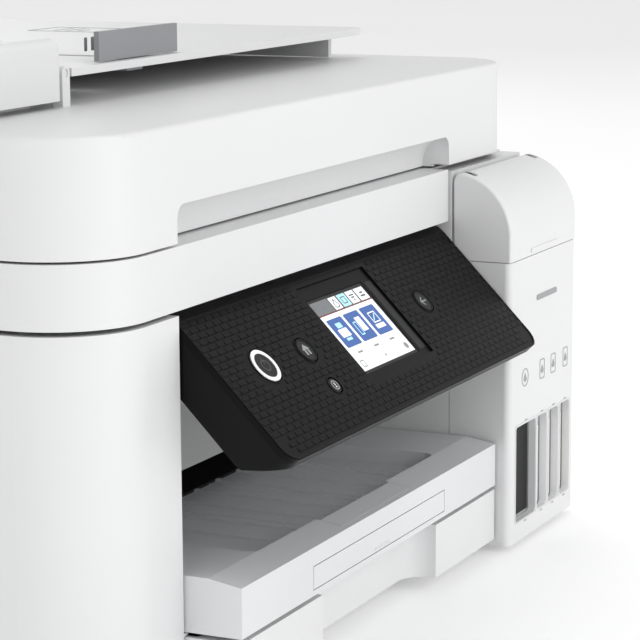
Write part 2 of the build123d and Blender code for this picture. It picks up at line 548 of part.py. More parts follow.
def output_tray():
    """Tray with a sunk, ribbed floor, a rim in front and a sleeve for its extension."""
    outline = [(TRAY_FRONT, TRAY_BOTTOM), (TRAY_FRONT, TRAY_LIP), (TRAY_FRONT + RIM_DEPTH, TRAY_TOP),
               (TRAY_BACK, TRAY_TOP), (TRAY_BACK, TRAY_BOTTOM)]
    tray = prism_x(outline, TRAY_LEFT, TRAY_RIGHT)
    tray -= slab(POCKET_LEFT, POCKET_RIGHT, TRAY_FRONT + RIM_DEPTH, TRAY_BACK + 1, TRAY_FLOOR, TRAY_TOP + 1,
                 (5, 5, 0, 0))
    rib_gap = (POCKET_RIGHT - POCKET_LEFT) / 9
    for i in range(1, 9):
        x = POCKET_LEFT + i * rib_gap
        tray += block(x - 1.2, x + 1.2, TRAY_FRONT + RIM_DEPTH + 8, TRAY_BACK,
                      TRAY_FLOOR - 0.5, TRAY_FLOOR + 1)
    tray -= block(SLEEVE_LEFT, SLEEVE_RIGHT, TRAY_FRONT - 1, TRAY_BACK + 1, SLEEVE_BOTTOM, SLEEVE_TOP)
    tray -= block(STOP_LEFT - GAP, STOP_RIGHT + GAP, TRAY_FRONT + 2.2, TRAY_FRONT + RIM_DEPTH + 1,
                  SLEEVE_TOP + 2, TRAY_TOP + 1)
    for side, x in ((1, STOP_LEFT - GAP), (-1, STOP_RIGHT + GAP)):
        tip = x + side * 3
        tray += rod_x(min(x - 0.5, tip), max(x + 0.5, tip), STOP_AXIS_Y, STOP_AXIS_Z, 0.9)
    return tray


def tray_extension():
    """Flat slide inside the tray's sleeve, its front end flush with the tray's."""
    plate = block(SLEEVE_LEFT + GAP, SLEEVE_RIGHT - GAP, TRAY_FRONT, TRAY_BACK - 10,
                  SLEEVE_BOTTOM + GAP, SLEEVE_TOP - GAP)
    plate -= slab(SLEEVE_LEFT + 12, SLEEVE_RIGHT - 12, TRAY_FRONT + 14, TRAY_BACK - 20,
                  SLEEVE_BOTTOM + 3, SLEEVE_TOP, (6, 6, 6, 6))
    return plate


def rim_height(y):
    """Height of the rim's sloping top."""
    return TRAY_LIP + (TRAY_TOP - TRAY_LIP) * (y - TRAY_FRONT) / RIM_DEPTH


def paper_stopper():
    """Flap that lies in the tray's rim and swings up to stop the sheets."""
    y0, y1 = TRAY_FRONT + 2.2 + GAP, STOP_AXIS_Y
    flap = prism_x([(y0, STOP_AXIS_Z - 1.2), (y0, rim_height(y0)), (y1, rim_height(y1)),
                    (y1, STOP_AXIS_Z - 1.2)], STOP_LEFT, STOP_RIGHT)
    flap += rod_x(STOP_LEFT, STOP_RIGHT, STOP_AXIS_Y, STOP_AXIS_Z, 1.4)
    return flap - rod_x(STOP_LEFT - 1, STOP_LEFT + 4, STOP_AXIS_Y, STOP_AXIS_Z, 0.9 + FIT) - rod_x(
        STOP_RIGHT - 4, STOP_RIGHT + 1, STOP_AXIS_Y, STOP_AXIS_Z, 0.9 + FIT)


# ---------------------------------------------------------------- paper cassette
CASSETTE_FRONT = TRAY_FRONT + 0.3
CASSETTE_BACK = FRONT + PAPER_LENGTH + 8.0
CASSETTE_WALL = 2.0
CASSETTE_FLOOR = CASSETTE_LIFT + 2.0
CASSETTE_HEAD = 18.0      # depth of the front block, with the finger recess under it
GRIP_LEFT, GRIP_RIGHT = OPEN_MIDDLE - 53.5, OPEN_MIDDLE + 53.5
GUIDE_TOP = CASSETTE_TOP - 3.0
GUIDE_FOOT, GUIDE_TRAVEL = 14.0, 60.0
REAR_GUIDE_Y = CASSETTE_FRONT + CASSETTE_HEAD + PAPER_LENGTH + 1.0
REAR_TRAVEL = 55.0


def paper_cassette():
    """Open tray for the sheets, with a front block and a finger recess in its middle."""
    x0, x1 = TRAY_LEFT, TRAY_RIGHT
    tray = block(x0, x1, CASSETTE_FRONT, CASSETTE_BACK, CASSETTE_LIFT, CASSETTE_TOP)
    tray -= block(x0 + CASSETTE_WALL, x1 - CASSETTE_WALL, CASSETTE_FRONT + CASSETTE_HEAD,
                  CASSETTE_BACK - CASSETTE_WALL, CASSETTE_FLOOR, CASSETTE_TOP + 1)
    grip = slab(GRIP_LEFT, GRIP_RIGHT, CASSETTE_FRONT - 20, CASSETTE_FRONT + 12,
                CASSETTE_LIFT - 1, CASSETTE_TOP + 1, (0, 0, 11, 11))
    tray -= grip
    for side in (-1, 1):
        ends = [OPEN_MIDDLE + side * (PAPER_WIDTH / 2 + 2.6),
                OPEN_MIDDLE + side * (PAPER_WIDTH / 2 - GUIDE_FOOT - GUIDE_TRAVEL - 1)]
        tray -= block(min(ends), max(ends), 18, 24, CASSETTE_LIFT - 1, CASSETTE_FLOOR + 1)
    return tray - block(OPEN_MIDDLE - 3, OPEN_MIDDLE + 3, REAR_GUIDE_Y - 12 - REAR_TRAVEL - 1,
                        REAR_GUIDE_Y - 4, CASSETTE_LIFT - 1, CASSETTE_FLOOR + 1)


def edge_guide(side):
    """Upright guide beside the sheets, with a foot in the cassette's cross slot."""
    face = OPEN_MIDDLE + side * (PAPER_WIDTH / 2 + 0.6)
    outer = face + side * 2
    upright = block(min(face, outer), max(face, outer), -10, 52, CASSETTE_FLOOR + GAP, GUIDE_TOP)
    inner = face - side * GUIDE_FOOT
    foot = block(min(inner, outer), max(inner, outer), 12, 30, CASSETTE_FLOOR + GAP, CASSETTE_FLOOR + 1.6)
    stem = block(min(inner, face), max(inner, face), 18 + GAP, 24 - GAP, CASSETTE_LIFT, CASSETTE_FLOOR + 1)
    return upright + foot + stem


def rear_guide():
    """Guide behind the sheets, with a stem in the cassette's long slot."""
    y = REAR_GUIDE_Y
    upright = block(OPEN_MIDDLE - 22, OPEN_MIDDLE + 22, y, y + 2, CASSETTE_FLOOR + GAP, GUIDE_TOP)
    foot = block(OPEN_MIDDLE - 12, OPEN_MIDDLE + 12, y - 18, y, CASSETTE_FLOOR + GAP, CASSETTE_FLOOR + 1.6)
    stem = block(OPEN_MIDDLE - 3 + GAP, OPEN_MIDDLE + 3 - GAP, y - 12, y - 5, CASSETTE_LIFT,
                 CASSETTE_FLOOR + 1)
    return upright + foot + stem


# ---------------------------------------------------------------- print mechanism
CARRIAGE_X, CARRIAGE_WIDTH = RIGHT - 50.0, 62.0
RAIL_LEFT, RAIL_RIGHT = LEFT + WALL + 3, RIGHT - WALL - 3
BELT_Y, BELT_Z = RAIL_Y + 9.0, RAIL_Z - 4.0
PULLEY_RADIUS = 5.0
PICK_Y, PICK_RADIUS = RAIL_Y + 38.0, 12.0


def roller(y, radius, grip_radius):
    """Steel shaft with rubber sleeves, running in the two side frames."""
    z = PATH_Z - grip_radius
    shaft = rod_x(OPEN_LEFT - WALL - 4, OPEN_RIGHT + WALL + 4, y, z, radius)
    for i in range(5):
        x = OPEN_MIDDLE + (i - 2) * 40
        shaft += rod_x(x - 12, x + 12, y, z, grip_radius)
    return shaft + rod_x(OPEN_LEFT - WALL - 8, OPEN_LEFT - WALL - 4, y, z, grip_radius + 4)


def platen():
    """Ribbed plate under the print head, between the rollers."""
    y0, y1 = EJECT_Y + EJECT_RADIUS + 2, FEED_Y - FEED_RADIUS - 2
    x0, x1 = OPEN_LEFT + FIXED_GAP, OPEN_RIGHT - FIXED_GAP
    plate = block(x0, x1, y0, y1, PATH_Z - 6, PATH_Z - 3)
    for i in range(12):
        x = SHEET_LEFT + 5 + i * (PAPER_WIDTH - 10) / 11
        plate += block(x - 0.8, x + 0.8, y0 + 2, y1 - 2, PATH_Z - 3.5, PATH_Z)
    return plate


def star_wheel_bar():
    """Bar of toothed star wheels just above the eject roller."""
    x0, x1 = OPEN_LEFT + FIXED_GAP, OPEN_RIGHT - FIXED_GAP
    bar = block(x0, x1, EJECT_Y - 3, EJECT_Y + 3, PATH_Z + 5, PATH_Z + 8)
    for i in range(8):
        x = SHEET_LEFT + 14 + i * (PAPER_WIDTH - 28) / 7
        wheel = RegularPolygon(4.4, 12)
        bar += Pos(x - 0.4, EJECT_Y, PATH_Z + 5) * Rot(0, 90, 0) * extrude(wheel, 0.8)
    return bar


def carriage_rail():
    """Steel channel across the casing that guides the carriage, with the pickup roller's bridge."""
    rail = block(RAIL_LEFT, RAIL_RIGHT, RAIL_Y, RAIL_Y + 1.2, RAIL_Z - 16, RAIL_Z + 18)
    rail += block(RAIL_LEFT, RAIL_RIGHT, RAIL_Y, RAIL_Y + 22, RAIL_Z + 16.8, RAIL_Z + 18)
    rail += block(RAIL_LEFT, RAIL_RIGHT, RAIL_Y, RAIL_Y + 15, RAIL_Z - 16, RAIL_Z - 14.8)
    for x in (RAIL_LEFT, RAIL_RIGHT - 2):
        rail += block(x, x + 2, RAIL_Y, RAIL_Y + 22, BASE + WALL, RAIL_Z + 18)
    return rail + pickup_frame()


def timing_belt():
    """Belt round a motor pulley and an idler, behind the rail."""
    x0, x1 = RAIL_LEFT + 20, RAIL_RIGHT - 20
    loop = SlotCenterToCenter(x1 - x0, 2 * PULLEY_RADIUS + 2)
    belt = loop - SlotCenterToCenter(x1 - x0, 2 * PULLEY_RADIUS)
    return Pos((x0 + x1) / 2, BELT_Y + 3, BELT_Z) * Rot(90, 0, 0) * extrude(belt, 6)


def belt_pulley(x):
    """Flanged pulley inside one end of the belt."""
    wheel = rod_y(BELT_Y - 3, BELT_Y + 3, x, BELT_Z, PULLEY_RADIUS - FIT)
    wheel += rod_y(BELT_Y + 3 + GAP, BELT_Y + 4.6, x, BELT_Z, PULLEY_RADIUS + 1.5)
    return wheel + rod_y(BELT_Y - 6, BELT_Y + 10, x, BELT_Z, 1.5)


def carriage_motor():
    """Motor behind the rail that drives the belt."""
    x = RAIL_LEFT + 20
    motor = rod_y(BELT_Y + 7, BELT_Y + 33, x, BELT_Z, 13)
    motor = chamfer(motor.edges().filter_by(GeomType.CIRCLE), 1.0)
    return motor - rod_y(BELT_Y + 6, BELT_Y + 12, x, BELT_Z, 2.0)


def print_carriage():
    """Carriage hooked over the rail, with the print head below."""
    x0, x1 = CARRIAGE_X - CARRIAGE_WIDTH / 2, CARRIAGE_X + CARRIAGE_WIDTH / 2
    body = slab(x0, x1, EJECT_Y - 2, RAIL_Y - GAP, PATH_Z + 16, BODY_TOP - 8, (4, 4, 0, 0))
    body += block(x0, x1, RAIL_Y - 3, RAIL_Y + 1.2 + GAP + 2, RAIL_Z + 18 + GAP, RAIL_Z + 22)
    return body + block(x0 + 8, x1 - 8, EJECT_Y + 10, FEED_Y - 12, PATH_Z + 2, PATH_Z + 17)


def pickup_roller():
    """Rubber roller that takes a sheet off the stack, on its own shaft."""
    z = CASSETTE_TOP + 14.0
    shaft = rod_x(OPEN_MIDDLE - 40, OPEN_MIDDLE + 40, PICK_Y, z, ROD_RADIUS)
    return shaft + rod_x(OPEN_MIDDLE - 16, OPEN_MIDDLE + 16, PICK_Y, z, PICK_RADIUS)


def pickup_frame():
    """Bridge on the rail's foot side that carries the pickup roller."""
    z = CASSETTE_TOP + 14.0
    x0, x1 = OPEN_MIDDLE - 38, OPEN_MIDDLE + 38
    frame = block(x0, x1, PICK_Y + 14, PICK_Y + 17, z - 6, RAIL_Z - 20)
    frame += block(x0, x1, RAIL_Y + 1.2, PICK_Y + 17, RAIL_Z - 22, RAIL_Z - 19)
    for x in (x0, x1 - 3):
        frame += block(x, x + 3, PICK_Y - 6, PICK_Y + 17, z - 6, z + 6)
        frame -= rod_x(x - 1, x + 4, PICK_Y, z, ROD_RADIUS + FIT)
    return frame + block(x0, x1, RAIL_Y + 1.2, RAIL_Y + 4, RAIL_Z - 22, RAIL_Z - 16)


def capping_station():
    """Wiper and cap unit below the carriage's parking place."""
    x0, x1 = OPEN_RIGHT + WALL + 6, RIGHT - WALL - 8
    unit = block(x0, x1, -25, 45, BASE + WALL, PATH_Z - 8)
    unit += block(x0 + 12, x0 + 42, -4, 26, PATH_Z - 9, PATH_Z - 2)
    return unit - block(x0 + 14, x0 + 40, -2, 24, PATH_Z - 4, PATH_Z)


# ---------------------------------------------------------------- boards and sockets
def main_board():
    """Logic board upright inside the back wall, on the left."""
    x0, x1 = LEFT + 45, SLOT_LEFT + 30
    board = block(x0, x1, BACK - WALL - 26, BACK - WALL - 24.4, 62, 130)
    for i in range(4):
        x = x0 + 8 + i * 13
        board += block(x, x + 8, BACK - WALL - 28.4, BACK - WALL - 26, 74 + 8 * (i % 2), 84 + 8 * (i % 2))
    return board


def power_supply():
    """Closed supply unit in the back left corner, behind the inlet."""
    unit = block(LEFT + WALL + 6, LEFT + 44, BACK - 130, BACK - 34, BASE + WALL, BASE + 54)
    return chamfer(unit.edges().filter_by(Axis.Z), 2.0)


def ac_inlet():
    """Two-pin mains inlet set in the back wall, with its pins."""
    x0, x1 = INLET_X - INLET_WIDTH / 2, INLET_X + INLET_WIDTH / 2
    z0, z1 = INLET_Z - INLET_HEIGHT / 2, INLET_Z + INLET_HEIGHT / 2
    body = block(x0, x1, BACK - 22, BACK, z0, z1)
    cavity = Pos(INLET_X, BACK - 14, INLET_Z) * Rot(-90, 0, 0) * extrude(
        SlotOverall(16.0, 8.4), 15)
    body -= cavity
    for x in (INLET_X - 4.3, INLET_X + 4.3):
        body += rod_y(BACK - 16, BACK - 3, x, INLET_Z, 1.1)
    return body


def rear_sockets():
    """Square data socket and network socket, set in the back wall."""
    group = []
    for x, (wide, high) in SOCKETS.items():
        body = block(x - wide / 2, x + wide / 2, BACK - 18, BACK, SOCKET_Z - high / 2, SOCKET_Z + high / 2)
        body -= block(x - wide / 2 + 1.5, x + wide / 2 - 1.5, BACK - 12, BACK + 1,
                      SOCKET_Z - high / 2 + 1.5, SOCKET_Z + high / 2 - 1.5)
        group.append(body)
    return group


def maintenance_box():
    """Waste ink box that slides into the back, with a ribbed end as its handle."""
    gap = GAP
    x0, x1 = WASTE_X - WASTE_WIDTH / 2 + gap, WASTE_X + WASTE_WIDTH / 2 - gap
    z0, z1 = WASTE_Z - WASTE_HEIGHT / 2 + gap, WASTE_Z + WASTE_HEIGHT / 2 - gap
    box = block(x0, x1, BACK - 85, BACK - 0.5, z0, z1)
    for i in range(5):
        z = z0 + 6 + i * 6
        box -= block(x0 + 8, x1 - 8, BACK - 2.5, BACK, z, z + 2.5)
    return box


def rear_cover():
    """Cover of the paper turn at the back, with a curved guide inside."""
    x0, x1 = SLOT_LEFT + GAP, SLOT_RIGHT - GAP
    z0, z1 = SLOT_BOTTOM + GAP, SLOT_TOP - GAP
    cover = block(x0, x1, BACK - 3, BACK, z0, z1)
    guide = block(x0 + 4, x1 - 4, BACK - 22, BACK - 3, z0 + 3, z1 - 20)
    guide -= rod_x(x0, x1, BACK - 30, (z0 + z1) / 2 - 8, 20)
    cover += guide
    for x in (x0 + 22, x1 - 34):
        cover -= block(x, x + 12, BACK - 1.5, BACK + 1, z1 - 8, z1 - 4)
    return cover


# ---------------------------------------------------------------- scanner unit
GLASS_X = -15.0
GLASS_Y = 12.0
STRIP_WIDTH = 10.0
STRIP_X = GLASS_X - GLASS_WIDTH / 2 - 10.0
GLASS_THICKNESS = 2.8
SCAN_WALL = 2.2
BAR_X, BAR_WIDTH = STRIP_X, 14.0
SCAN_ROD_Z = SCAN_BOTTOM + 7.5


def scanner_base():
    """Flat tub of the scanner with two windows in its top, hinge arms and lid lugs."""
    outer = slab(LEFT, RIGHT, FRONT, SCAN_REAR, SCAN_BOTTOM, SCAN_TOP,
                 (CORNER_RADIUS, EDGE_RADIUS, BACK_RADIUS, BACK_RADIUS))
    inner = slab(LEFT + WALL, RIGHT - WALL, TOWER_BACK + 4, SCAN_REAR - WALL, SCAN_BOTTOM + SCAN_WALL,
                 SCAN_TOP - SCAN_WALL, (22, 1, BACK_RADIUS - WALL, BACK_RADIUS - WALL))
    base = outer - block(OPEN_RIGHT - 1.4, RIGHT + 1, FRONT - 1, TOWER_BACK + 0.6, 0, SCAN_TOP + 1)
    base -= inner
    y0, y1 = GLASS_Y - GLASS_DEPTH / 2, GLASS_Y + GLASS_DEPTH / 2
    base -= block(GLASS_X - GLASS_WIDTH / 2, GLASS_X + GLASS_WIDTH / 2, y0, y1, SCAN_TOP - 3, SCAN_TOP + 1)
    base -= block(STRIP_X - STRIP_WIDTH / 2, STRIP_X + STRIP_WIDTH / 2, y0, y1, SCAN_TOP - 3, SCAN_TOP + 1)
    for x in (-SCAN_HINGE_X, SCAN_HINGE_X):
        base += hinge_arm(x, SCAN_HINGE_Y, SCAN_HINGE_Z, SCAN_REAR)
    for x in (-LID_HINGE_X, LID_HINGE_X):
        for lug in hinge_lugs(x, LID_HINGE_Y, LID_HINGE_Z, SCAN_TOP, 0):
            base += lug
    return base


def platen_glass():
    """Document glass and the narrow strip glass, bonded under the tub's top."""
    z1 = SCAN_TOP - SCAN_WALL
    y0, y1 = GLASS_Y - GLASS_DEPTH / 2 - 4, GLASS_Y + GLASS_DEPTH / 2 + 4
    panes = [(GLASS_X, GLASS_WIDTH / 2 + 2), (STRIP_X, STRIP_WIDTH / 2 + 2)]
    return Compound(children=[block(x - w, x + w, y0, y1, z1 - GLASS_THICKNESS, z1) for x, w in panes])


def scan_rod():
    """Steel rod that the scan bar runs on."""
    return rod_x(LEFT + WALL, RIGHT - WALL, GLASS_Y, SCAN_ROD_Z, ROD_RADIUS)


def scan_bar():
    """Sensor bar under the glass, bored for its rod."""
    z0 = SCAN_BOTTOM + SCAN_WALL + 1.5
    z1 = SCAN_TOP - SCAN_WALL - GLASS_THICKNESS - GAP
    y0, y1 = GLASS_Y - GLASS_DEPTH / 2 - 2, GLASS_Y + GLASS_DEPTH / 2 + 2
    bar = block(BAR_X - BAR_WIDTH / 2, BAR_X + BAR_WIDTH / 2, y0, y1, z0, z1)
    bar = chamfer(bar.edges().filter_by(Axis.Y).group_by(Axis.Z)[-1], 1.5)
    return bar - rod_x(BAR_X - BAR_WIDTH, BAR_X + BAR_WIDTH, GLASS_Y, SCAN_ROD_Z, ROD_RADIUS + FIT)


# ---------------------------------------------------------------- document lid and feeder
SCOOP_LEFT, SCOOP_RIGHT = OPEN_LEFT, OPEN_RIGHT - 0.6
SCOOP_DEPTH = 12.0
SCOOP_HEIGHT = 13.1
FEEDER_FRONT, FEEDER_BACK = FRONT + 66.0, LID_REAR - 8.0
FEEDER_HEIGHT = 25.0
MECH_LEFT, MECH_RIGHT = LEFT + 9.0, LEFT + 92.0
MECH_TOP = LID_TOP + FEEDER_HEIGHT
FEEDER_AXIS_X, FEEDER_AXIS_Z = MECH_LEFT + 5.0, LID_TOP + 8.0
SHEET_TABLE_Z = LID_TOP + 12.0
TABLE_AXIS_X = MECH_RIGHT + 4.0
TABLE_RIGHT = RIGHT - 16.0
GUIDE_MIDDLE = (FEEDER_FRONT + FEEDER_BACK) / 2
GUIDE_FACE = PAPER_WIDTH / 2 + 0.6
BRACKET_Y = (FEEDER_FRONT + 10.0, FEEDER_BACK - 13.0)
PICK_ROLLER_X, DRIVE_ROLLER_X = MECH_RIGHT - 16.0, MECH_RIGHT - 42.0
ROLLER_Z = LID_TOP + 10.0
FEEDER_PIN = 1.5


def scoop():
    """Finger recess along the lid's lower front edge, rounded in section and at its ends."""
    z1 = LID_BOTTOM + SCOOP_HEIGHT
    centre = (FRONT, z1 - SCOOP_DEPTH)
    curves = [
        arc(centre, SCOOP_DEPTH, 90, 0),
        Line((FRONT + SCOOP_DEPTH, centre[1]), (FRONT + SCOOP_DEPTH, LID_BOTTOM - 1)),
        Line((FRONT + SCOOP_DEPTH, LID_BOTTOM - 1), (FRONT - 2, LID_BOTTOM - 1)),
        Line((FRONT - 2, LID_BOTTOM - 1), (FRONT - 2, z1)),
        Line((FRONT - 2, z1), (FRONT, z1)),
    ]
    cut = curve_prism_x(curves, SCOOP_LEFT, SCOOP_RIGHT)
    middle = Pos((SCOOP_LEFT + SCOOP_RIGHT) / 2, FRONT + 20, z1 - 20)
    frame = middle * Rot(90, 0, 0) * extrude(RectangleRounded(SCOOP_RIGHT - SCOOP_LEFT, 40, 5), 40)
    return cut & frame


def feeder_lug(x, z, y):
    """Bored lug on the lid's top for a small pin along Y."""
    lug = block(x - 2.6, x + 2.6, y, y + 4, LID_TOP - 1, z) + rod_y(y, y + 4, x, z, 2.6)
    return lug - rod_y(y - 1, y + 5, x, z, FEEDER_PIN + FIT)


def document_lid():
    """Deep hollow lid with a finger scoop, brackets for the feeder's rollers and hinge arms."""
    lid = slab(LEFT, RIGHT, FRONT, LID_REAR, LID_BOTTOM, LID_TOP,
               (CORNER_RADIUS, CORNER_RADIUS, BACK_RADIUS, BACK_RADIUS))
    lid = fillet(lid.edges().group_by(Axis.Z)[-1], 1.6)
    hollow = slab(LEFT + WALL, RIGHT - WALL, FRONT + WALL, LID_REAR - WALL, LID_BOTTOM - 1, LID_TOP - WALL,
                  (CORNER_RADIUS - WALL,) * 2 + (BACK_RADIUS - WALL,) * 2)
    keep = block(SCOOP_LEFT - 2.5, SCOOP_RIGHT + 2.5, FRONT, FRONT + SCOOP_DEPTH + 2.5, LID_BOTTOM - 2,
                 LID_BOTTOM + SCOOP_HEIGHT + 2.5)
    lid -= hollow - keep
    lid -= scoop()
    lid -= block(OPEN_RIGHT - 11, RIGHT + 1, FRONT - 1, FRONT + WALL + 5, LID_BOTTOM - 1, LID_BOTTOM + 1)
    for y in BRACKET_Y:
        bracket = block(MECH_LEFT + 18, MECH_RIGHT - 6, y, y + 3, LID_TOP - 1, ROLLER_Z + 6)
        for x in (PICK_ROLLER_X, DRIVE_ROLLER_X):
            bracket -= rod_y(y - 1, y + 4, x, ROLLER_Z, ROD_RADIUS + FIT)
        lid += bracket
    for y in (FEEDER_FRONT + 4, FEEDER_BACK - 8):
        lid += feeder_lug(FEEDER_AXIS_X, FEEDER_AXIS_Z, y)
    for y in (FEEDER_FRONT + 1, FEEDER_BACK - 5):
        lid += feeder_lug(TABLE_AXIS_X, SHEET_TABLE_Z, y)
    for x in (-LID_HINGE_X, LID_HINGE_X):
        lid += hinge_arm(x, LID_HINGE_Y, LID_HINGE_Z, LID_REAR - 1)
    return lid


def lid_pad():
    """White backing plate that closes the lid and presses the document on the glass."""
    edge = WALL + FIXED_GAP
    plate = slab(LEFT + edge, RIGHT - edge, FRONT + SCOOP_DEPTH + edge + 1, LID_REAR - edge,
                 LID_BOTTOM + 0.8, LID_BOTTOM + 3, (22, 22, BACK_RADIUS - edge, BACK_RADIUS - edge))
    pad = block(GLASS_X - GLASS_WIDTH / 2 - 1, GLASS_X + GLASS_WIDTH / 2 + 1, GLASS_Y - GLASS_DEPTH / 2,
                GLASS_Y + GLASS_DEPTH / 2, LID_BOTTOM - LID_LIFT + GAP, LID_BOTTOM + 1)
    return plate + pad


def feeder_cover():
    """Cover over the feeder's rollers, hinged along its left edge."""
    y0, y1 = FEEDER_FRONT, FEEDER_BACK
    cover = block(MECH_LEFT, MECH_RIGHT, y0, y1, LID_TOP + 2.5, MECH_TOP)
    cover = fillet(cover.edges().filter_by(Axis.Y).group_by(Axis.Z)[-1], 5)
    cover = fillet(cover.edges().filter_by(Axis.Z), 3)
    cover -= block(MECH_LEFT + 2, MECH_RIGHT - 2, y0 + 2, y1 - 2, LID_TOP, MECH_TOP - 2.2)
    cover -= block(MECH_RIGHT - 4, MECH_RIGHT + 1, y0 + 12, y1 - 12, LID_TOP, SHEET_TABLE_Z + 8)
    for lug in (y0 + 4, y1 - 8):
        cover -= block(MECH_LEFT - 1, MECH_LEFT + 2.1, lug - 0.5, lug + 4.5, LID_TOP, FEEDER_AXIS_Z + 3.2)
    for start, end in ((y0 + 1, y0 + 8.5), (y1 - 8.5, y1 - 1)):
        cover += rod_y(start, end, FEEDER_AXIS_X, FEEDER_AXIS_Z, FEEDER_PIN)
    return cover


def feeder_table():
    """Input table for the documents, hinged beside the feeder, with slots for its guides."""
    y0, y1 = FEEDER_FRONT + 1, FEEDER_BACK - 1
    table = slab(TABLE_AXIS_X + 4, TABLE_RIGHT, y0, y1, SHEET_TABLE_Z - 1.5, SHEET_TABLE_Z + 1.5,
                 (0, 10, 10, 0))
    table += block(TABLE_AXIS_X - 2, TABLE_AXIS_X + 5, y0 + 5, y1 - 5, SHEET_TABLE_Z - 1.5,
                   SHEET_TABLE_Z + 1.5)
    table += block(TABLE_RIGHT - 12, TABLE_RIGHT - 9, y0 + 14, y1 - 14, LID_TOP + GAP, SHEET_TABLE_Z - 1)
    x = TABLE_AXIS_X + 60
    for side in (-1, 1):
        ends = [GUIDE_MIDDLE + side * (GUIDE_FACE + 1), GUIDE_MIDDLE + side * (GUIDE_FACE - 73)]
        table -= block(x - 3, x + 3, min(ends), max(ends), SHEET_TABLE_Z - 3, SHEET_TABLE_Z + 3)
    for start, end in ((y0 + 0.5, y0 + 6), (y1 - 6, y1 - 0.5)):
        table += rod_y(start, end, TABLE_AXIS_X, SHEET_TABLE_Z, FEEDER_PIN)
    return table


def feeder_guide(side):
    """Edge guide on the input table, hooked through its slot."""
    x = TABLE_AXIS_X + 60
    face = GUIDE_MIDDLE + side * GUIDE_FACE
    outer = face + side * 2.2
    lip = face - side * 10
    z = SHEET_TABLE_Z + 1.5 + GAP
    guide = block(x - 30, x + 30, min(face, outer), max(face, outer), z, z + 11)
    guide += block(x - 12, x + 12, min(face, lip), max(face, lip), z, z + 1.6)
    foot_z = SHEET_TABLE_Z - 1.5 - GAP
    guide += block(x - 3 + GAP, x + 3 - GAP, min(face, lip), max(face, lip), foot_z - 1.2, z + 1)
    return guide + block(x - 6, x + 6, min(face, lip), max(face, lip), foot_z - 1.4, foot_z)


def feeder_roller(x, radius):
    """Feeder shaft with two rubber sleeves."""
    y0, y1 = BRACKET_Y[0] - 2, BRACKET_Y[1] + 5
    middle = (y0 + y1) / 2
    shaft = rod_y(y0, y1, x, ROLLER_Z, ROD_RADIUS)
    for offset in (-22, 22):
        shaft += rod_y(middle + offset - 12, middle + offset + 12, x, ROLLER_Z, radius)
    return shaft


# ---------------------------------------------------------------- write every piece
def main():
    save(base_casing(), "base_casing")
    save(top_deck(), "top_deck")
    save(casing_screws(), "casing_screws")
    save(inner_front_wall(), "inner_front_wall")
    save(rubber_feet(), "rubber_feet")
    save(tank_housing(), "tank_housing")
    save(ink_tank(BLACK_TANK_X, 27.6), "ink_tank_black")
    for node, x in COLOUR_TANKS.items():
        save(ink_tank(x, TANK_PITCH - 0.6), node)
    save(filler_port_block(), "filler_port_block")
    for node, x in zip(("cap_black", "cap_cyan", "cap_magenta", "cap_yellow"), port_places()):
        save(filler_cap(x), node)
    save(tank_cover(), "tank_cover")
    save(panel_housing(), "panel_housing")
    save(panel_face(), "panel_face")
    save(lcd_module(), "lcd_module")
    save(panel_board(), "panel_board")
    for node, (x, down, radius) in BUTTONS.items():
        save(button(x, down, radius), node)
    save(output_tray(), "output_tray")
    save(tray_extension(), "tray_extension")
    save(paper_stopper(), "paper_stopper")
    save(paper_cassette(), "paper_cassette")
    save(edge_guide(-1), "edge_guide_left")
    save(edge_guide(1), "edge_guide_right")
    save(rear_guide(), "rear_guide")
    save(roller(FEED_Y, ROD_RADIUS, FEED_RADIUS), "feed_roller")
    save(roller(EJECT_Y, ROD_RADIUS, EJECT_RADIUS), "eject_roller")
    save(platen(), "platen")
    save(star_wheel_bar(), "star_wheel_bar")
    save(carriage_rail(), "carriage_rail")
    save(timing_belt(), "timing_belt")
    save(belt_pulley(RAIL_LEFT + 20), "drive_pulley")
    save(belt_pulley(RAIL_RIGHT - 20), "idler_pulley")
    save(carriage_motor(), "carriage_motor")
    save(print_carriage(), "print_carriage")
    save(pickup_roller(), "pickup_roller")
    save(capping_station(), "capping_station")
    save(Compound(children=[main_board()] + rear_sockets()), "main_board")
    save(power_supply(), "power_supply")
    save(ac_inlet(), "ac_inlet")
    save(maintenance_box(), "maintenance_box")
    save(rear_cover(), "rear_cover")
    save(scanner_base(), "scanner_base")
    save(platen_glass(), "platen_glass")
    save(scan_rod(), "scan_rod")
    save(scan_bar(), "scan_bar")
    save(document_lid(), "document_lid")
    save(lid_pad(), "lid_pad")
    save(feeder_cover(), "feeder_cover")
    save(feeder_table(), "feeder_table")
    save(feeder_guide(-1), "feeder_guide_front")
    save(feeder_guide(1), "feeder_guide_back")
    save(feeder_roller(PICK_ROLLER_X, 9.0), "feeder_pick_roller")
    save(feeder_roller(DRIVE_ROLLER_X, 8.0), "feeder_drive_roller")


main()
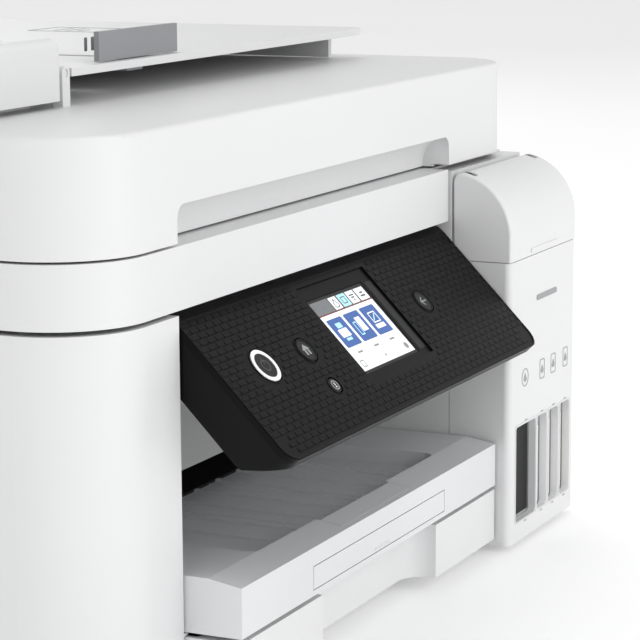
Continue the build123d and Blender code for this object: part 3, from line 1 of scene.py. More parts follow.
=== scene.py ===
"""Looks of the ink-tank printer: materials for the CAD parts, and the fine pieces around them."""
import json
import math
import bmesh
import bpy
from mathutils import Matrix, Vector


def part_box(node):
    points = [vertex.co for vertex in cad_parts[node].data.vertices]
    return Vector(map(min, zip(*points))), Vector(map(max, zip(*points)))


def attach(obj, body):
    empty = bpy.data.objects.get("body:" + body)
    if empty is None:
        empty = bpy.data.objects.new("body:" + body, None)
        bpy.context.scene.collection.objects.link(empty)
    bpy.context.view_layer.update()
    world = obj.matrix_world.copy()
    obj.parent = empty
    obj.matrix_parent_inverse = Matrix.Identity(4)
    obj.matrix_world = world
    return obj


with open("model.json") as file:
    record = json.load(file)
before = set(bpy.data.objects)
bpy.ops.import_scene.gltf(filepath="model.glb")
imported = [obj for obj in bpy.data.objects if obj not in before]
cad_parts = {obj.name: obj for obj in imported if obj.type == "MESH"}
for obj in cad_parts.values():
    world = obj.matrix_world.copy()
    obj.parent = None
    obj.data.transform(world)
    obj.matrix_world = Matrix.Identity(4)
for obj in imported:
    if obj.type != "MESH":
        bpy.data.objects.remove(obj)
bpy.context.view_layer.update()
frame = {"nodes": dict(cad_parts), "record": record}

MM = 0.001
NODES = frame["nodes"]
JOINTS = {joint["name"]: joint for joint in frame["record"]["behaviour"]["joints"]}


# ---------------------------------------------------------------- camera, lights, floor
CAMERA_PLACE = (-0.84559, -0.52958, 0.28612)
CAMERA_TURN = (79.7654, 0.3398, -64.6915)
CAMERA_LENS = 137.683


def add_camera():
    """The photograph's viewpoint: front left, a little above, with a long lens."""
    data = bpy.data.cameras.new("camera")
    data.lens, data.sensor_width = CAMERA_LENS, 36.0
    data.clip_start, data.clip_end = 0.05, 60.0
    camera = bpy.data.objects.new("camera", data)
    camera.location = CAMERA_PLACE
    camera.rotation_euler = [math.radians(angle) for angle in CAMERA_TURN]
    bpy.context.collection.objects.link(camera)
    bpy.context.scene.camera = camera


def add_light(name, location, target, size, power, colour=(1, 1, 1)):
    """Square soft box aimed at a point."""
    data = bpy.data.lights.new(name, "AREA")
    data.shape, data.size, data.energy, data.color = "SQUARE", size, power, colour
    light = bpy.data.objects.new(name, data)
    light.location = location
    direction = Vector(target) - Vector(location)
    light.rotation_euler = direction.to_track_quat("-Z", "Y").to_euler()
    bpy.context.collection.objects.link(light)


def add_stage():
    """Pale floor, pale surroundings and four soft boxes."""
    bpy.ops.mesh.primitive_circle_add(vertices=128, radius=14, fill_type="NGON", location=(0, 0, 0))
    floor = bpy.context.object
    floor.name = "floor"
    floor.data.materials.append(floor_finish())
    world = bpy.data.worlds.new("studio")
    world.use_nodes = True
    nodes, links = world.node_tree.nodes, world.node_tree.links
    place, split = nodes.new("ShaderNodeTexCoord"), nodes.new("ShaderNodeSeparateXYZ")
    links.new(place.outputs["Generated"], split.inputs[0])
    fade = nodes.new("ShaderNodeMapRange")
    for socket, value in (("From Min", 0.1), ("From Max", 0.5), ("To Min", 1.0), ("To Max", 0.66)):
        fade.inputs[socket].default_value = value
    links.new(split.outputs[2], fade.inputs["Value"])
    links.new(fade.outputs[0], nodes["Background"].inputs[1])
    nodes["Background"].inputs[0].default_value = (1, 1, 1, 1)
    bpy.context.scene.world = world
    bpy.context.scene.view_settings.view_transform = "Standard"
    middle = (0, 0, 0.1)
    add_light("key_front", (-0.5, -1.9, 1.1), middle, 1.4, 10.5)
    add_light("low_front", (0.1, -1.9, 0.3), middle, 1.0, 6.0)
    add_light("fill_left", (-1.9, 0.3, 0.8), middle, 1.4, 4.2)
    add_light("fill_back", (1.4, 1.6, 1.2), middle, 1.6, 7)
    add_light("top", (0, 0, 2.2), middle, 1.6, 5)


# ---------------------------------------------------------------- materials
def new_material(name):
    """A node material, with its node tree, its links and its shader."""
    material = bpy.data.materials.new(name)
    material.use_nodes = True
    nodes, links = material.node_tree.nodes, material.node_tree.links
    return material, nodes, links, nodes["Principled BSDF"]


def grain(nodes, links, scale, detail=3.0):
    """Noise in the piece's own coordinates, fixed to its mesh."""
    place = nodes.new("ShaderNodeTexCoord")
    noise = nodes.new("ShaderNodeTexNoise")
    noise.inputs["Scale"].default_value = scale
    noise.inputs["Detail"].default_value = detail
    links.new(place.outputs["Object"], noise.inputs["Vector"])
    return noise.outputs[0]


def ramp(nodes, links, source, low, high):
    """Blend between two colours by a grey value around one half."""
    blend = nodes.new("ShaderNodeValToRGB")
    blend.color_ramp.elements[0].position = 0.35
    blend.color_ramp.elements[1].position = 0.65
    blend.color_ramp.elements[0].color = (*low, 1)
    blend.color_ramp.elements[1].color = (*high, 1)
    links.new(source, blend.inputs[0])
    return blend.outputs[0]


def add_bump(nodes, links, shader, height, strength, distance):
    """Drives the shader's normal from a height."""
    bump = nodes.new("ShaderNodeBump")
    bump.inputs["Strength"].default_value = strength
    bump.inputs["Distance"].default_value = distance
    links.new(height, bump.inputs["Height"])
    links.new(bump.outputs[0], shader.inputs["Normal"])


def shade(colour, factor):
    """A colour made darker or lighter, kept within range."""
    return tuple(min(1.0, c * factor) for c in colour)


def roughness_from(nodes, links, shader, source, low, high):
    """Drives the shader's roughness from a grey value."""
    spread = nodes.new("ShaderNodeMapRange")
    spread.inputs["To Min"].default_value = low
    spread.inputs["To Max"].default_value = high
    links.new(source, spread.inputs["Value"])
    links.new(spread.outputs[0], shader.inputs["Roughness"])


def plastic(name, colour, roughness=0.45, vary=0.03, spark=2600, depth=0.25, coat=0.0, shine=0.5):
    """Moulded plastic: spark-eroded grain, faint flow tone and uneven gloss."""
    material, nodes, links, shader = new_material(name)
    flow = grain(nodes, links, 9.0, 2.0)
    links.new(ramp(nodes, links, flow, shade(colour, 1 - vary), shade(colour, 1 + vary)),
              shader.inputs["Base Color"])
    fine = grain(nodes, links, spark, 2.0)
    roughness_from(nodes, links, shader, fine, roughness - 0.06, roughness + 0.06)
    add_bump(nodes, links, shader, fine, depth, 0.00006)
    shader.inputs["Coat Weight"].default_value = coat
    shader.inputs["Coat Roughness"].default_value = 0.08
    shader.inputs["Specular IOR Level"].default_value = shine
    return material


def floor_finish():
    """Pale studio floor with a very faint mottle, lifted a little so that it stays near white."""
    material, nodes, links, shader = new_material("floor_pale")
    cloud = grain(nodes, links, 3.0, 2.0)
    tone = ramp(nodes, links, cloud, (0.93, 0.93, 0.93), (0.95, 0.95, 0.95))
    links.new(tone, shader.inputs["Base Color"])
    roughness_from(nodes, links, shader, cloud, 0.6, 0.7)
    shader.inputs["Specular IOR Level"].default_value = 0.1
    shader.inputs["Emission Color"].default_value = (1, 1, 1, 1)
    shader.inputs["Emission Strength"].default_value = 0.16
    return material


def metal(name, colour, roughness=0.3):
    """Drawn steel with fine lines along X."""
    material, nodes, links, shader = new_material(name)
    place = nodes.new("ShaderNodeTexCoord")
    stretch = nodes.new("ShaderNodeMapping")
    stretch.inputs["Scale"].default_value = (20, 1500, 1500)
    lines = nodes.new("ShaderNodeTexNoise")
    lines.inputs["Scale"].default_value = 1.0
    links.new(place.outputs["Object"], stretch.inputs[0])
    links.new(stretch.outputs[0], lines.inputs["Vector"])
    links.new(ramp(nodes, links, lines.outputs[0], shade(colour, 0.9), shade(colour, 1.08)),
              shader.inputs["Base Color"])
    roughness_from(nodes, links, shader, lines.outputs[0], roughness - 0.08, roughness + 0.1)
    shader.inputs["Metallic"].default_value = 1.0
    return material


def clear(name, colour, alpha, roughness):
    """Translucent moulding or glass, a little milky, with a soft wave in its surface."""
    material, nodes, links, shader = new_material(name)
    wave = grain(nodes, links, 60.0, 2.0)
    links.new(ramp(nodes, links, wave, shade(colour, 0.97), shade(colour, 1.02)),
              shader.inputs["Base Color"])
    roughness_from(nodes, links, shader, wave, roughness, roughness + 0.06)
    shader.inputs["Alpha"].default_value = alpha
    shader.inputs["Coat Weight"].default_value = 0.4
    return material


def glow(name, colour, strength):
    """Lit screen colour with a faint pixel grid."""
    material, nodes, links, shader = new_material(name)
    dots = grain(nodes, links, 4000.0, 0.0)
    tone = ramp(nodes, links, dots, shade(colour, 0.96), colour)
    links.new(tone, shader.inputs["Base Color"])
    links.new(tone, shader.inputs["Emission Color"])
    shader.inputs["Emission Strength"].default_value = strength
    shader.inputs["Roughness"].default_value = 0.2
    return material


# ---------------------------------------------------------------- finishes of the CAD nodes
def make_finishes():
    """One finish for each material slot of the record."""
    return {
        "white_shell": plastic("white_shell", (0.69, 0.692, 0.696), 0.42, 0.012, 2400, 0.22),
        "tray_grey": plastic("tray_grey", (0.66, 0.67, 0.68), 0.5, 0.03, 2000, 0.35),
        "inner_grey": plastic("inner_grey", (0.52, 0.525, 0.53), 0.5, 0.05, 1800, 0.3),
        "dark_inner": plastic("dark_inner", (0.014, 0.014, 0.015), 0.55, 0.08, 1800, 0.3, shine=0.2),
        "guide_grey": plastic("guide_grey", (0.24, 0.245, 0.255), 0.45, 0.04, 2200, 0.3),
        "panel_black": plastic("panel_black", (0.0042, 0.0042, 0.0045), 0.36, 0.05, 1600, 0.25, shine=0.08),
        "panel_back": plastic("panel_back", (0.004, 0.004, 0.0045), 0.42, 0.05, 2200, 0.3, shine=0.12),
        "button_black": plastic("button_black", (0.008, 0.008, 0.0085), 0.3, 0.04, 2200, 0.15, shine=0.2),
        "screen": plastic("screen", (0.008, 0.008, 0.009), 0.1, 0.02, 60, 0.02, coat=0.6),
        "circuit": plastic("circuit", (0.01, 0.09, 0.035), 0.4, 0.3, 500, 0.6),
        "tank_clear": clear("tank_clear", (0.84, 0.85, 0.855), 0.5, 0.12),
        "cap_black": plastic("cap_black", (0.018, 0.018, 0.02), 0.6, 0.05, 1500, 0.4),
        "cap_cyan": plastic("cap_cyan", (0.01, 0.23, 0.48), 0.55, 0.04, 1500, 0.4),
        "cap_magenta": plastic("cap_magenta", (0.5, 0.01, 0.13), 0.55, 0.04, 1500, 0.4),
        "cap_yellow": plastic("cap_yellow", (0.75, 0.48, 0.01), 0.55, 0.04, 1500, 0.4),
        "steel": metal("steel", (0.55, 0.56, 0.57)),
        "rubber_dark": plastic("rubber_dark", (0.022, 0.022, 0.023), 0.75, 0.1, 900, 0.6),
        "pulley_white": plastic("pulley_white", (0.7, 0.69, 0.66), 0.4, 0.03, 2000, 0.2),
        "inlet_black": plastic("inlet_black", (0.016, 0.016, 0.017), 0.35, 0.05, 2000, 0.25),
        "glass": clear("glass", (0.55, 0.62, 0.6), 0.35, 0.03),
        "bar_black": plastic("bar_black", (0.02, 0.02, 0.022), 0.4, 0.05, 2000, 0.3),
        "pad_white": plastic("pad_white", (0.82, 0.82, 0.81), 0.8, 0.02, 700, 0.8),
    }


def dress_nodes(finishes):
    """Gives every CAD node its slot's finish."""
    for part in frame["record"]["subparts"]:
        node = NODES[part["node"]]
        node.data.materials.clear()
        node.data.materials.append(finishes[part["material_slot"]])
        for polygon in node.data.polygons:
            polygon.material_index = 0


# ---------------------------------------------------------------- shapes, in millimetres
SUNK = -0.05              # a surface plate starts this far inside its node


def on_front(node):
    """Places (x, z, height) on the front of a node."""
    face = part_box(node)[0].y / MM
    return lambda u, v, n: (u, face - n, v)


def on_back(node):
    """Places (x, z, height) on the back of a node."""
    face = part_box(node)[1].y / MM
    return lambda u, v, n: (u, face + n, v)


def on_top(node, z=None):
    """Places (x, y, height) on the top of a node."""
    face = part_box(node)[1].z / MM if z is None else z
    return lambda u, v, n: (u, v, face + n)


def on_floor(node):
    """Places (x, y, height) on the underside of a node."""
    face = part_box(node)[0].z / MM
    return lambda u, v, n: (u, v, face - n)


def on_side(node, side):
    """Places (y, z, height) on the left (-1) or right (1) side of a node."""
    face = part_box(node)[0 if side < 0 else 1].x / MM
    return lambda u, v, n: (face + side * n, u, v)


def on_panel(x, t, n):
    """Places (x, distance down the face, height) on the tilted control panel."""
    lean = math.radians(-JOINTS["panel_tilt"]["range_deg"][0])
    axis = JOINTS["panel_tilt"]["pos_m"]
    y = axis[1] / MM - t * math.sin(lean) - n * math.cos(lean)
    z = axis[2] / MM - t * math.cos(lean) + n * math.sin(lean)
    return x, y, z


def on_button(name):
    """Places (x, up, height) about the middle of a button."""
    x, t, _ = BUTTONS[name]
    return lambda u, v, n: on_panel(x + u, t - v, BUTTON_TOP + n)


def on_screen(u, v, n):
    """Places (x, up, height) on the screen, with up counted so that its picture spans 10.6 to 43.2."""
    return on_panel(u, 53.8 - v, n)


def middle_of(node):
    """Centre of a node's box."""
    low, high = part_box(node)
    return (low.x + high.x) / 2 / MM, (low.y + high.y) / 2 / MM, (low.z + high.z) / 2 / MM


def rect(u0, u1, v0, v1, r=0.0, steps=5):
    """Corners of a rectangle, rounded by r."""
    if r <= 0:
        return [(u0, v0), (u1, v0), (u1, v1), (u0, v1)]
    loop = []
    centres = ((u1 - r, v0 + r, -90), (u1 - r, v1 - r, 0), (u0 + r, v1 - r, 90), (u0 + r, v0 + r, 180))
    for cu, cv, a0 in centres:
        for i in range(steps + 1):
            a = math.radians(a0 + 90 * i / steps)
            loop.append((cu + r * math.cos(a), cv + r * math.sin(a)))
    return loop


def disc(u, v, r, steps=48):
    """Corners of a circle."""
    turns = [math.tau * i / steps for i in range(steps)]
    return [(u + r * math.cos(a), v + r * math.sin(a)) for a in turns]


def drop(u, v, size, steps=28):
    """Outline of a drop, point up."""
    loop = []
    for i in range(steps):
        a = math.tau * i / steps
        wide = math.sin(a) * math.sin(a / 2) ** 1.6
        loop.append((u + 0.62 * size * wide, v + 0.5 * size * math.cos(a)))
    return loop


def inset(loop, by):
    """The loop moved inwards by a distance, point for point."""
    out, count = [], len(loop)
    ahead = loop[1:] + loop[:1]
    area = sum(a[0] * b[1] - b[0] * a[1] for a, b in zip(loop, ahead))
    turn = 1 if area > 0 else -1
    for i, (u, v) in enumerate(loop):
        pu, pv = loop[i - 1]
        nu, nv = loop[(i + 1) % count]
        du, dv = nu - pu, nv - pv
        length = math.hypot(du, dv) or 1.0
        out.append((u - turn * by * dv / length, v + turn * by * du / length))
    return out


def stroke(u0, v0, u1, v1, wide):
    """A straight bar between two points."""
    du, dv = u1 - u0, v1 - v0
    length = math.hypot(du, dv)
    su, sv = -dv / length * wide / 2, du / length * wide / 2
    return [(u0 + su, v0 + sv), (u0 - su, v0 - sv), (u1 - su, v1 - sv), (u1 + su, v1 + sv)]


def prism(bm, place, loop, low, high, hole=None):
    """Adds a plate with this outline between two heights, with an optional hole of as many points."""
    def ring(points, n):
        return [bm.verts.new(Vector(place(u, v, n)) * MM) for u, v in points]
    outer, top = ring(loop, low), ring(loop, high)
    count = len(loop)
    if hole is None:
        bm.faces.new(top)
        bm.faces.new(outer)
    else:
        inner, inner_top = ring(hole, low), ring(hole, high)
    for i in range(count):
        j = (i + 1) % count
        bm.faces.new((outer[i], outer[j], top[j], top[i]))
        if hole is not None:
            bm.faces.new((inner[i], inner[j], inner_top[j], inner_top[i]))
            bm.faces.new((top[i], top[j], inner_top[j], inner_top[i]))
            bm.faces.new((outer[i], outer[j], inner[j], inner[i]))


def finish_piece(name, bm, material, body, soften=0.0):
    """Turns a mesh into a piece that rides a body."""
    bmesh.ops.recalc_face_normals(bm, faces=bm.faces)
    mesh = bpy.data.meshes.new(name)
    bm.to_mesh(mesh)
    bm.free()
    piece = bpy.data.objects.new(name, mesh)
    bpy.context.collection.objects.link(piece)
    mesh.materials.append(material)
    if soften > 0:
        bevel = piece.modifiers.new("soften", "BEVEL")
        bevel.width, bevel.segments, bevel.limit_method = soften * MM, 2, "ANGLE"
    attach(piece, body)


def relief(name, body, material, place, plates, soften=0.0):
    """A piece made of plates: each is (outline, low, high) or (outline, low, high, hole)."""
    bm = bmesh.new()
    for plate in plates:
        prism(bm, place, *plate)
    finish_piece(name, bm, material, body, soften)


def outlined(loop, wide, low, high):
    """A plate that follows an outline with this line width."""
    return loop, low, high, inset(loop, wide)


# ---------------------------------------------------------------- control panel
BUTTONS = {"power_button": (-100.8, 26.9, 7.0), "home_button": (-68.7, 27.2, 5.2),
           "help_button": (-69.0, 43.7, 3.2), "back_button": (40.2, 26.4, 5.2)}
BUTTON_TOP = 8.7
FACE = 8.6
FACE_CORNER, FACE_STRAIGHT = 7.0, 55.9       # lower corners: their radius, and where they start
BRICK, COURSE, JOINT_WIDTH = 5.6, 2.7, 0.5
EMBOSS_TOP, EMBOSS_END, EMBOSS_MARGIN = 1.6, 61.6, 1.2
POCKET_LEFT, POCKET_RIGHT, POCKET_TOP, POCKET_END = -43.4, 17.4, 2.6, 47.8
CORNER_TOP, CORNER_WIDTH = 54, 6             # no bricks in these two lower corners


def free_of_panel_parts(x0, x1, t0, t1):
    """True where a brick stays off the screen pocket and the buttons."""
    if x1 > POCKET_LEFT and x0 < POCKET_RIGHT and t1 > POCKET_TOP and t0 < POCKET_END:
        return False
    low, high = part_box("panel_face")[0].x / MM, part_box("panel_face")[1].x / MM
    if t1 > CORNER_TOP and (x0 < low + CORNER_WIDTH or x1 > high - CORNER_WIDTH):
        return False
    for x, t, r in BUTTONS.values():
        near_x, near_t = min(max(x, x0), x1), min(max(t, t0), t1)
        if math.hypot(near_x - x, near_t - t) < r + 0.9:
            return False
    return True


def panel_emboss(finish):
    """Brick pattern over the panel face: each brick leans a little, so it catches the light."""
    bm = bmesh.new()
    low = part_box("panel_face")[0].x / MM + EMBOSS_MARGIN
    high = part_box("panel_face")[1].x / MM - EMBOSS_MARGIN
    row = 0
    while EMBOSS_TOP + (row + 1) * COURSE < EMBOSS_END:
        t0 = EMBOSS_TOP + row * COURSE
        x = low - (BRICK / 2 if row % 2 else 0)
        while x < high:
            x0, x1 = max(x + JOINT_WIDTH / 2, low), min(x + BRICK - JOINT_WIDTH / 2, high)
            t1 = t0 + COURSE - JOINT_WIDTH
            if x1 - x0 > 0.8 and free_of_panel_parts(x0, x1, t0, t1):
                heights = (0.05, 0.10, 0.36, 0.30)
                corners = rect(x0 + 0.12, x1 - 0.12, t0 + 0.12, t1 - 0.12)
                low_points = [on_panel(u, v, FACE - 0.05) for u, v in rect(x0, x1, t0, t1)]
                top_points = [on_panel(u, v, FACE + h) for (u, v), h in zip(corners, heights)]
                base = [bm.verts.new(Vector(point) * MM) for point in low_points]
                top = [bm.verts.new(Vector(point) * MM) for point in top_points]
                bm.faces.new(top)
                for i in range(4):
                    j = (i + 1) % 4
                    bm.faces.new((base[i], base[j], top[j], top[i]))
            x += BRICK
        row += 1
    finish_piece("panel_emboss", bm, finish, "panel")


def button_marks(finishes, white, grey, dim):
    """Ring and icon on each button; they go down with it."""
    def ring(name, wide):
        r = BUTTONS[name][2]
        return disc(0, 0, r - 0.1), -0.3, 0.16, disc(0, 0, r - 0.1 - wide)
    place = on_button("power_button")
    relief("power_ring", "power_button", white, place, [ring("power_button", 1.65)], soften=0.06)
    relief("power_icon", "power_button", dim, place,
           [(disc(0, 0, 2.5), SUNK, 0.08, disc(0, 0, 1.95)), (stroke(0, 0.6, 0, 3.2, 0.6), SUNK, 0.12)])
    place = on_button("home_button")
    relief("home_ring", "home_button", finishes["panel_back"], place, [ring("home_button", 0.8)],
           0.05)
    relief("home_icon", "home_button", grey, place,
           [([(-2.6, 0.2), (2.6, 0.2), (0, 2.6)], SUNK, 0.1), (rect(-1.7, -0.5, -2.1, 0.1), SUNK, 0.1),
            (rect(0.5, 1.7, -2.1, 0.1), SUNK, 0.1)])
    place = on_button("help_button")
    relief("help_ring", "help_button", grey, place, [(disc(0, 0, 2.1), SUNK, 0.09, disc(0, 0, 1.6))])
    relief("help_icon", "help_button", white, place,
           [(disc(0, -0.75, 0.4, 16), SUNK, 0.1), (stroke(0, -0.2, 0, 1.1, 0.5), SUNK, 0.1)])
    place = on_button("back_button")
    relief("back_ring", "back_button", finishes["panel_back"], place, [ring("back_button", 0.8)],
           0.05)
    relief("back_icon", "back_button", grey, place,
           [(stroke(-2.2, 0, -0.2, 1.9, 0.6), SUNK, 0.1), (stroke(-2.2, 0, -0.2, -1.9, 0.6), SUNK, 0.1),
            (stroke(-2.0, 0, 2.4, 0, 0.6), SUNK, 0.1)])


def panel_collars(finish):
    """Raised collars in the face round the four buttons."""
    plates = [(disc(x, t, r + 0.85), FACE - 0.1, FACE + 0.22, disc(x, t, r + 0.42))
              for x, t, r in BUTTONS.values()]
    relief("button_collars", "panel", finish, on_panel, plates, 0.05)


def face_rim(low, high, by):
    """The face's outline moved in by a distance: square above, round at the two lower corners."""
    r = FACE_CORNER - by
    loop = [(low + by, 0.3 + by), (high - by, 0.3 + by)]
    for cu, a0 in ((high - FACE_CORNER, 0), (low + FACE_CORNER, 90)):
        for i in range(9):
            a = math.radians(a0 + 90 * i / 8)
            loop.append((cu + r * math.cos(a), FACE_STRAIGHT + r * math.sin(a)))
    return loop


def panel_trim(finish, seal):
    """Edge strip along the panel's rim, the screen's seal and the touch strip beside it."""
    low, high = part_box("panel_face")[0].x / MM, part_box("panel_face")[1].x / MM
    relief("panel_edge_strip", "panel", finish, on_panel,
           [(face_rim(low, high, 0.4), FACE - 0.1, FACE + 0.3, face_rim(low, high, 1.1))],
           0.08)
    relief("screen_seal", "panel", seal, on_panel,
           [(rect(-41.6, 7.6, 9.5, 44.3, 0.6), 7.45, 7.62, rect(-40.6, 6.6, 10.4, 43.4, 0.3))],
           0.03)
    relief("touch_strip", "panel", seal, on_panel, [(rect(9.6, 15.4, 9.8, 44.0, 0.8), 7.6, 7.9)],
           0.05)


# screen picture: status row, three tiles and a bottom row, all drawn without any lettering
SCREEN_LEFT, SCREEN_RIGHT, SCREEN_LOW, SCREEN_HIGH = -40.4, 6.4, 10.6, 43.2
GLASS = 7.5


def screen_fields(white, grey, cyan, red):
    """Lit fields of the screen: white ground, status row with four boxes, and a thin line."""
    relief("screen_white", "panel", white, on_screen,
           [(rect(SCREEN_LEFT, SCREEN_RIGHT, SCREEN_LOW, SCREEN_HIGH - 6.6), GLASS - 0.02, GLASS + 0.06),
            (rect(-24.8, -18.6, SCREEN_HIGH - 5.9, SCREEN_HIGH - 0.2, 0.3), GLASS - 0.02, GLASS + 0.08),
            (rect(-9.6, -3.0, SCREEN_HIGH - 5.9, SCREEN_HIGH - 0.2, 0.3), GLASS - 0.02, GLASS + 0.08),
            (rect(-1.8, 6.0, SCREEN_HIGH - 5.9, SCREEN_HIGH - 0.2, 0.3), GLASS - 0.02, GLASS + 0.08)])
    relief("screen_status", "panel", grey, on_screen,
           [(rect(SCREEN_LEFT, -25.6, SCREEN_HIGH - 6.0, SCREEN_HIGH), GLASS - 0.02, GLASS + 0.05)])
    relief("screen_cyan_box", "panel", cyan, on_screen,
           [(rect(-17.4, -10.6, SCREEN_HIGH - 5.9, SCREEN_HIGH - 0.2, 0.3), GLASS - 0.02, GLASS + 0.08)])
    relief("screen_line", "panel", red, on_screen,
           [(rect(SCREEN_LEFT, SCREEN_RIGHT, SCREEN_HIGH - 6.6, SCREEN_HIGH - 6.05),
             GLASS - 0.02, GLASS + 0.07)])


TILES = (-38.6, -24.1, -9.6)
TILE_WIDTH, TILE_HEIGHT = 12.6, 13.2


def screen_tiles(blue, white, cyan, mark):
    """Three tiles with a plain picture and a caption bar each: a machine, two sheets and a tray."""
    tiles, icons, accents, captions = [], [], [], []
    low, top = 21.4, GLASS + 0.16
    for x in TILES:
        tiles.append((rect(x, x + TILE_WIDTH, low, low + TILE_HEIGHT, 0.8), GLASS, GLASS + 0.12))
        captions.append((rect(x + 4.2, x + 8.4, 18.0, 18.8, 0.2), GLASS, GLASS + 0.1))
    x, v = TILES[0] + 6.3, low + 6.6
    icons.append((rect(x - 3.6, x + 3.6, v - 2.2, v + 1.6, 0.5), GLASS, top))
    accents += [(rect(x - 2.2, x + 2.2, v + 2.1, v + 4.4, 0.2), GLASS, top),
                (rect(x - 2.2, x + 2.2, v - 3.9, v - 2.7, 0.2), GLASS, top)]
    x = TILES[1] + 6.3
    icons.append((rect(x - 0.4, x + 4.0, v - 2.6, v + 3.9, 0.3), GLASS, top))
    accents.append(outlined(rect(x - 3.9, x - 1.0, v - 3.9, v + 2.4, 0.3), 0.5, GLASS, top))
    x = TILES[2] + 6.3
    icons += [(rect(x - 3.8, x + 3.8, v - 3.9, v - 1.9, 0.3), GLASS, top),
              outlined(rect(x - 3.0, x + 3.0, v - 1.2, v + 3.8, 0.3), 0.5, GLASS, top)]
    accents.append((stroke(x - 1.8, v - 0.2, x + 1.8, v + 2.8, 0.6), GLASS, GLASS + 0.17))
    relief("screen_tiles", "panel", blue, on_screen, tiles)
    relief("screen_tile_icons", "panel", white, on_screen, icons)
    relief("screen_tile_accents", "panel", cyan, on_screen, accents)
    relief("screen_tile_marks", "panel", mark, on_screen, captions)


def screen_small_icons(dark, grey, mark):
    """Small plain signs in the status row and along the bottom of the screen."""
    top = SCREEN_HIGH - 3.05
    relief("screen_status_icons", "panel", dark, on_screen,
           [outlined(drop(-21.7, top, 4.4), 0.4, GLASS, GLASS + 0.14),
            outlined(rect(-15.8, -12.2, top - 1.6, top + 1.6, 0.4), 0.4, GLASS, GLASS + 0.14),
            (rect(-8.2, -4.4, top + 0.6, top + 1.2), GLASS, GLASS + 0.14),
            (rect(-7.6, -5.0, top - 0.5, top + 0.1), GLASS, GLASS + 0.14),
            (disc(-6.3, top - 1.4, 0.45, 16), GLASS, GLASS + 0.14),
            (rect(0.2, 4.0, top - 1.3, top - 0.5), GLASS, GLASS + 0.14),
            (rect(0.9, 3.3, top + 0.2, top + 0.9), GLASS, GLASS + 0.14)])
    relief("screen_bottom_icons", "panel", mark, on_screen,
           [outlined(rect(-38.6, -35.4, 12.0, 15.2, 0.3), 0.4, GLASS, GLASS + 0.12),
            (disc(-17.0, 13.4, 0.6, 20), GLASS, GLASS + 0.12),
            (disc(2.6, 13.6, 1.5, 24), GLASS, GLASS + 0.12)])
    relief("screen_status_marks", "panel", grey, on_screen,
           [(rect(-39.4, -34.0, top - 0.3, top + 0.3), GLASS, GLASS + 0.1),
            (rect(-32.6, -27.6, top - 0.3, top + 0.3), GLASS, GLASS + 0.1)])


# ---------------------------------------------------------------- ink tank front
WINDOWS = {"black": (126.25, 24.1), "cyan": (146.0, 11.6), "magenta": (160.7, 11.6), "yellow": (175.4, 11.6)}
WINDOW_LOW, WINDOW_HIGH = 11.9, 53.8
ROUND_MARK, SQUARE_MARKS, MARK_MIDDLE = 124.6, (145.7, 159.7, 175.4), 74.2


def tank_marks(finish):
    """Blank badge, a framed drop over each window, and a level tick above and below each window."""
    place = on_front("tank_housing")
    relief("badge_blank", "base", finish, place, [(rect(138.0, 163.0, 105.6, 108.0, 1.1), SUNK, 0.3)],
           soften=0.08)
    drops = [outlined(disc(ROUND_MARK, MARK_MIDDLE, 4.0), 0.45, SUNK, 0.14)]
    drops += [outlined(rect(x - 3.0, x + 3.0, 69.8, 78.6, 1.0), 0.45, SUNK, 0.14) for x in SQUARE_MARKS]
    drops += [(drop(x, MARK_MIDDLE, 3.8), SUNK, 0.16) for x in (ROUND_MARK, *SQUARE_MARKS)]
    relief("tank_drop_marks", "base", finish, place, drops)
    ticks = []
    for x, _ in WINDOWS.values():
        for z in (WINDOW_LOW - 1.7, WINDOW_HIGH + 1.2):
            ticks.append((rect(x - 1.3, x + 1.3, z, z + 0.5), SUNK, 0.12))
    relief("tank_level_marks", "base", finish, place, ticks)


def window_frames(finish):
    """Thin raised frame round each of the four windows."""
    plates = []
    for x, wide in WINDOWS.values():
        outer = rect(x - wide / 2 - 0.9, x + wide / 2 + 0.9, WINDOW_LOW - 0.9, WINDOW_HIGH + 0.9, 1.2)
        plates.append((outer, SUNK, 0.3, inset(outer, 0.6)))
    relief("tank_window_frames", "base", finish, on_front("tank_housing"), plates, 0.08)


def tank_levels(dark, fills):
    """Ink standing behind the black window, and the lighter fill behind the others."""
    for name, (x, wide) in WINDOWS.items():
        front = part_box("ink_tank_" + name)[0].y / MM
        material = dark if name == "black" else fills[name]
        top = WINDOW_HIGH - (2.0 if name == "black" else 6.0)
        relief("ink_level_" + name, "base", material, lambda u, v, n, y=front: (u, y - n, v),
               [(rect(x - wide / 2 + 1.2, x + wide / 2 - 1.2, WINDOW_LOW + 1.2, top, 0.8), -0.02, 0.1)])


def cap_grips(finishes):
    """Grip ribs on each filler cap, riding the cap."""
    for name in WINDOWS:
        cap = "cap_" + name
        cx, cy, _ = middle_of(cap)
        ribs = [(rect(cx - 3.0, cx + 3.0, cy - 2.6 + i * 1.3, cy - 2.0 + i * 1.3, 0.2), -0.1, 0.25)
                for i in range(5)]
        relief("cap_ribs_" + name, cap, finishes[cap], on_top(cap), ribs, 0.05)


def hood_details(finish):
    """Finger lip along the hood's front."""
    low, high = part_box("tank_cover")
    x0, x1 = low.x / MM + 24, high.x / MM - 24
    relief("hood_finger_lip", "tank_cover", finish, on_front("tank_cover"),
           [(rect(x0, x1, low.z / MM + 1.0, low.z / MM + 3.0, 0.8), SUNK, 0.4)], 0.12)


# ---------------------------------------------------------------- tray and cassette
TRAY_FLOOR = 44.0


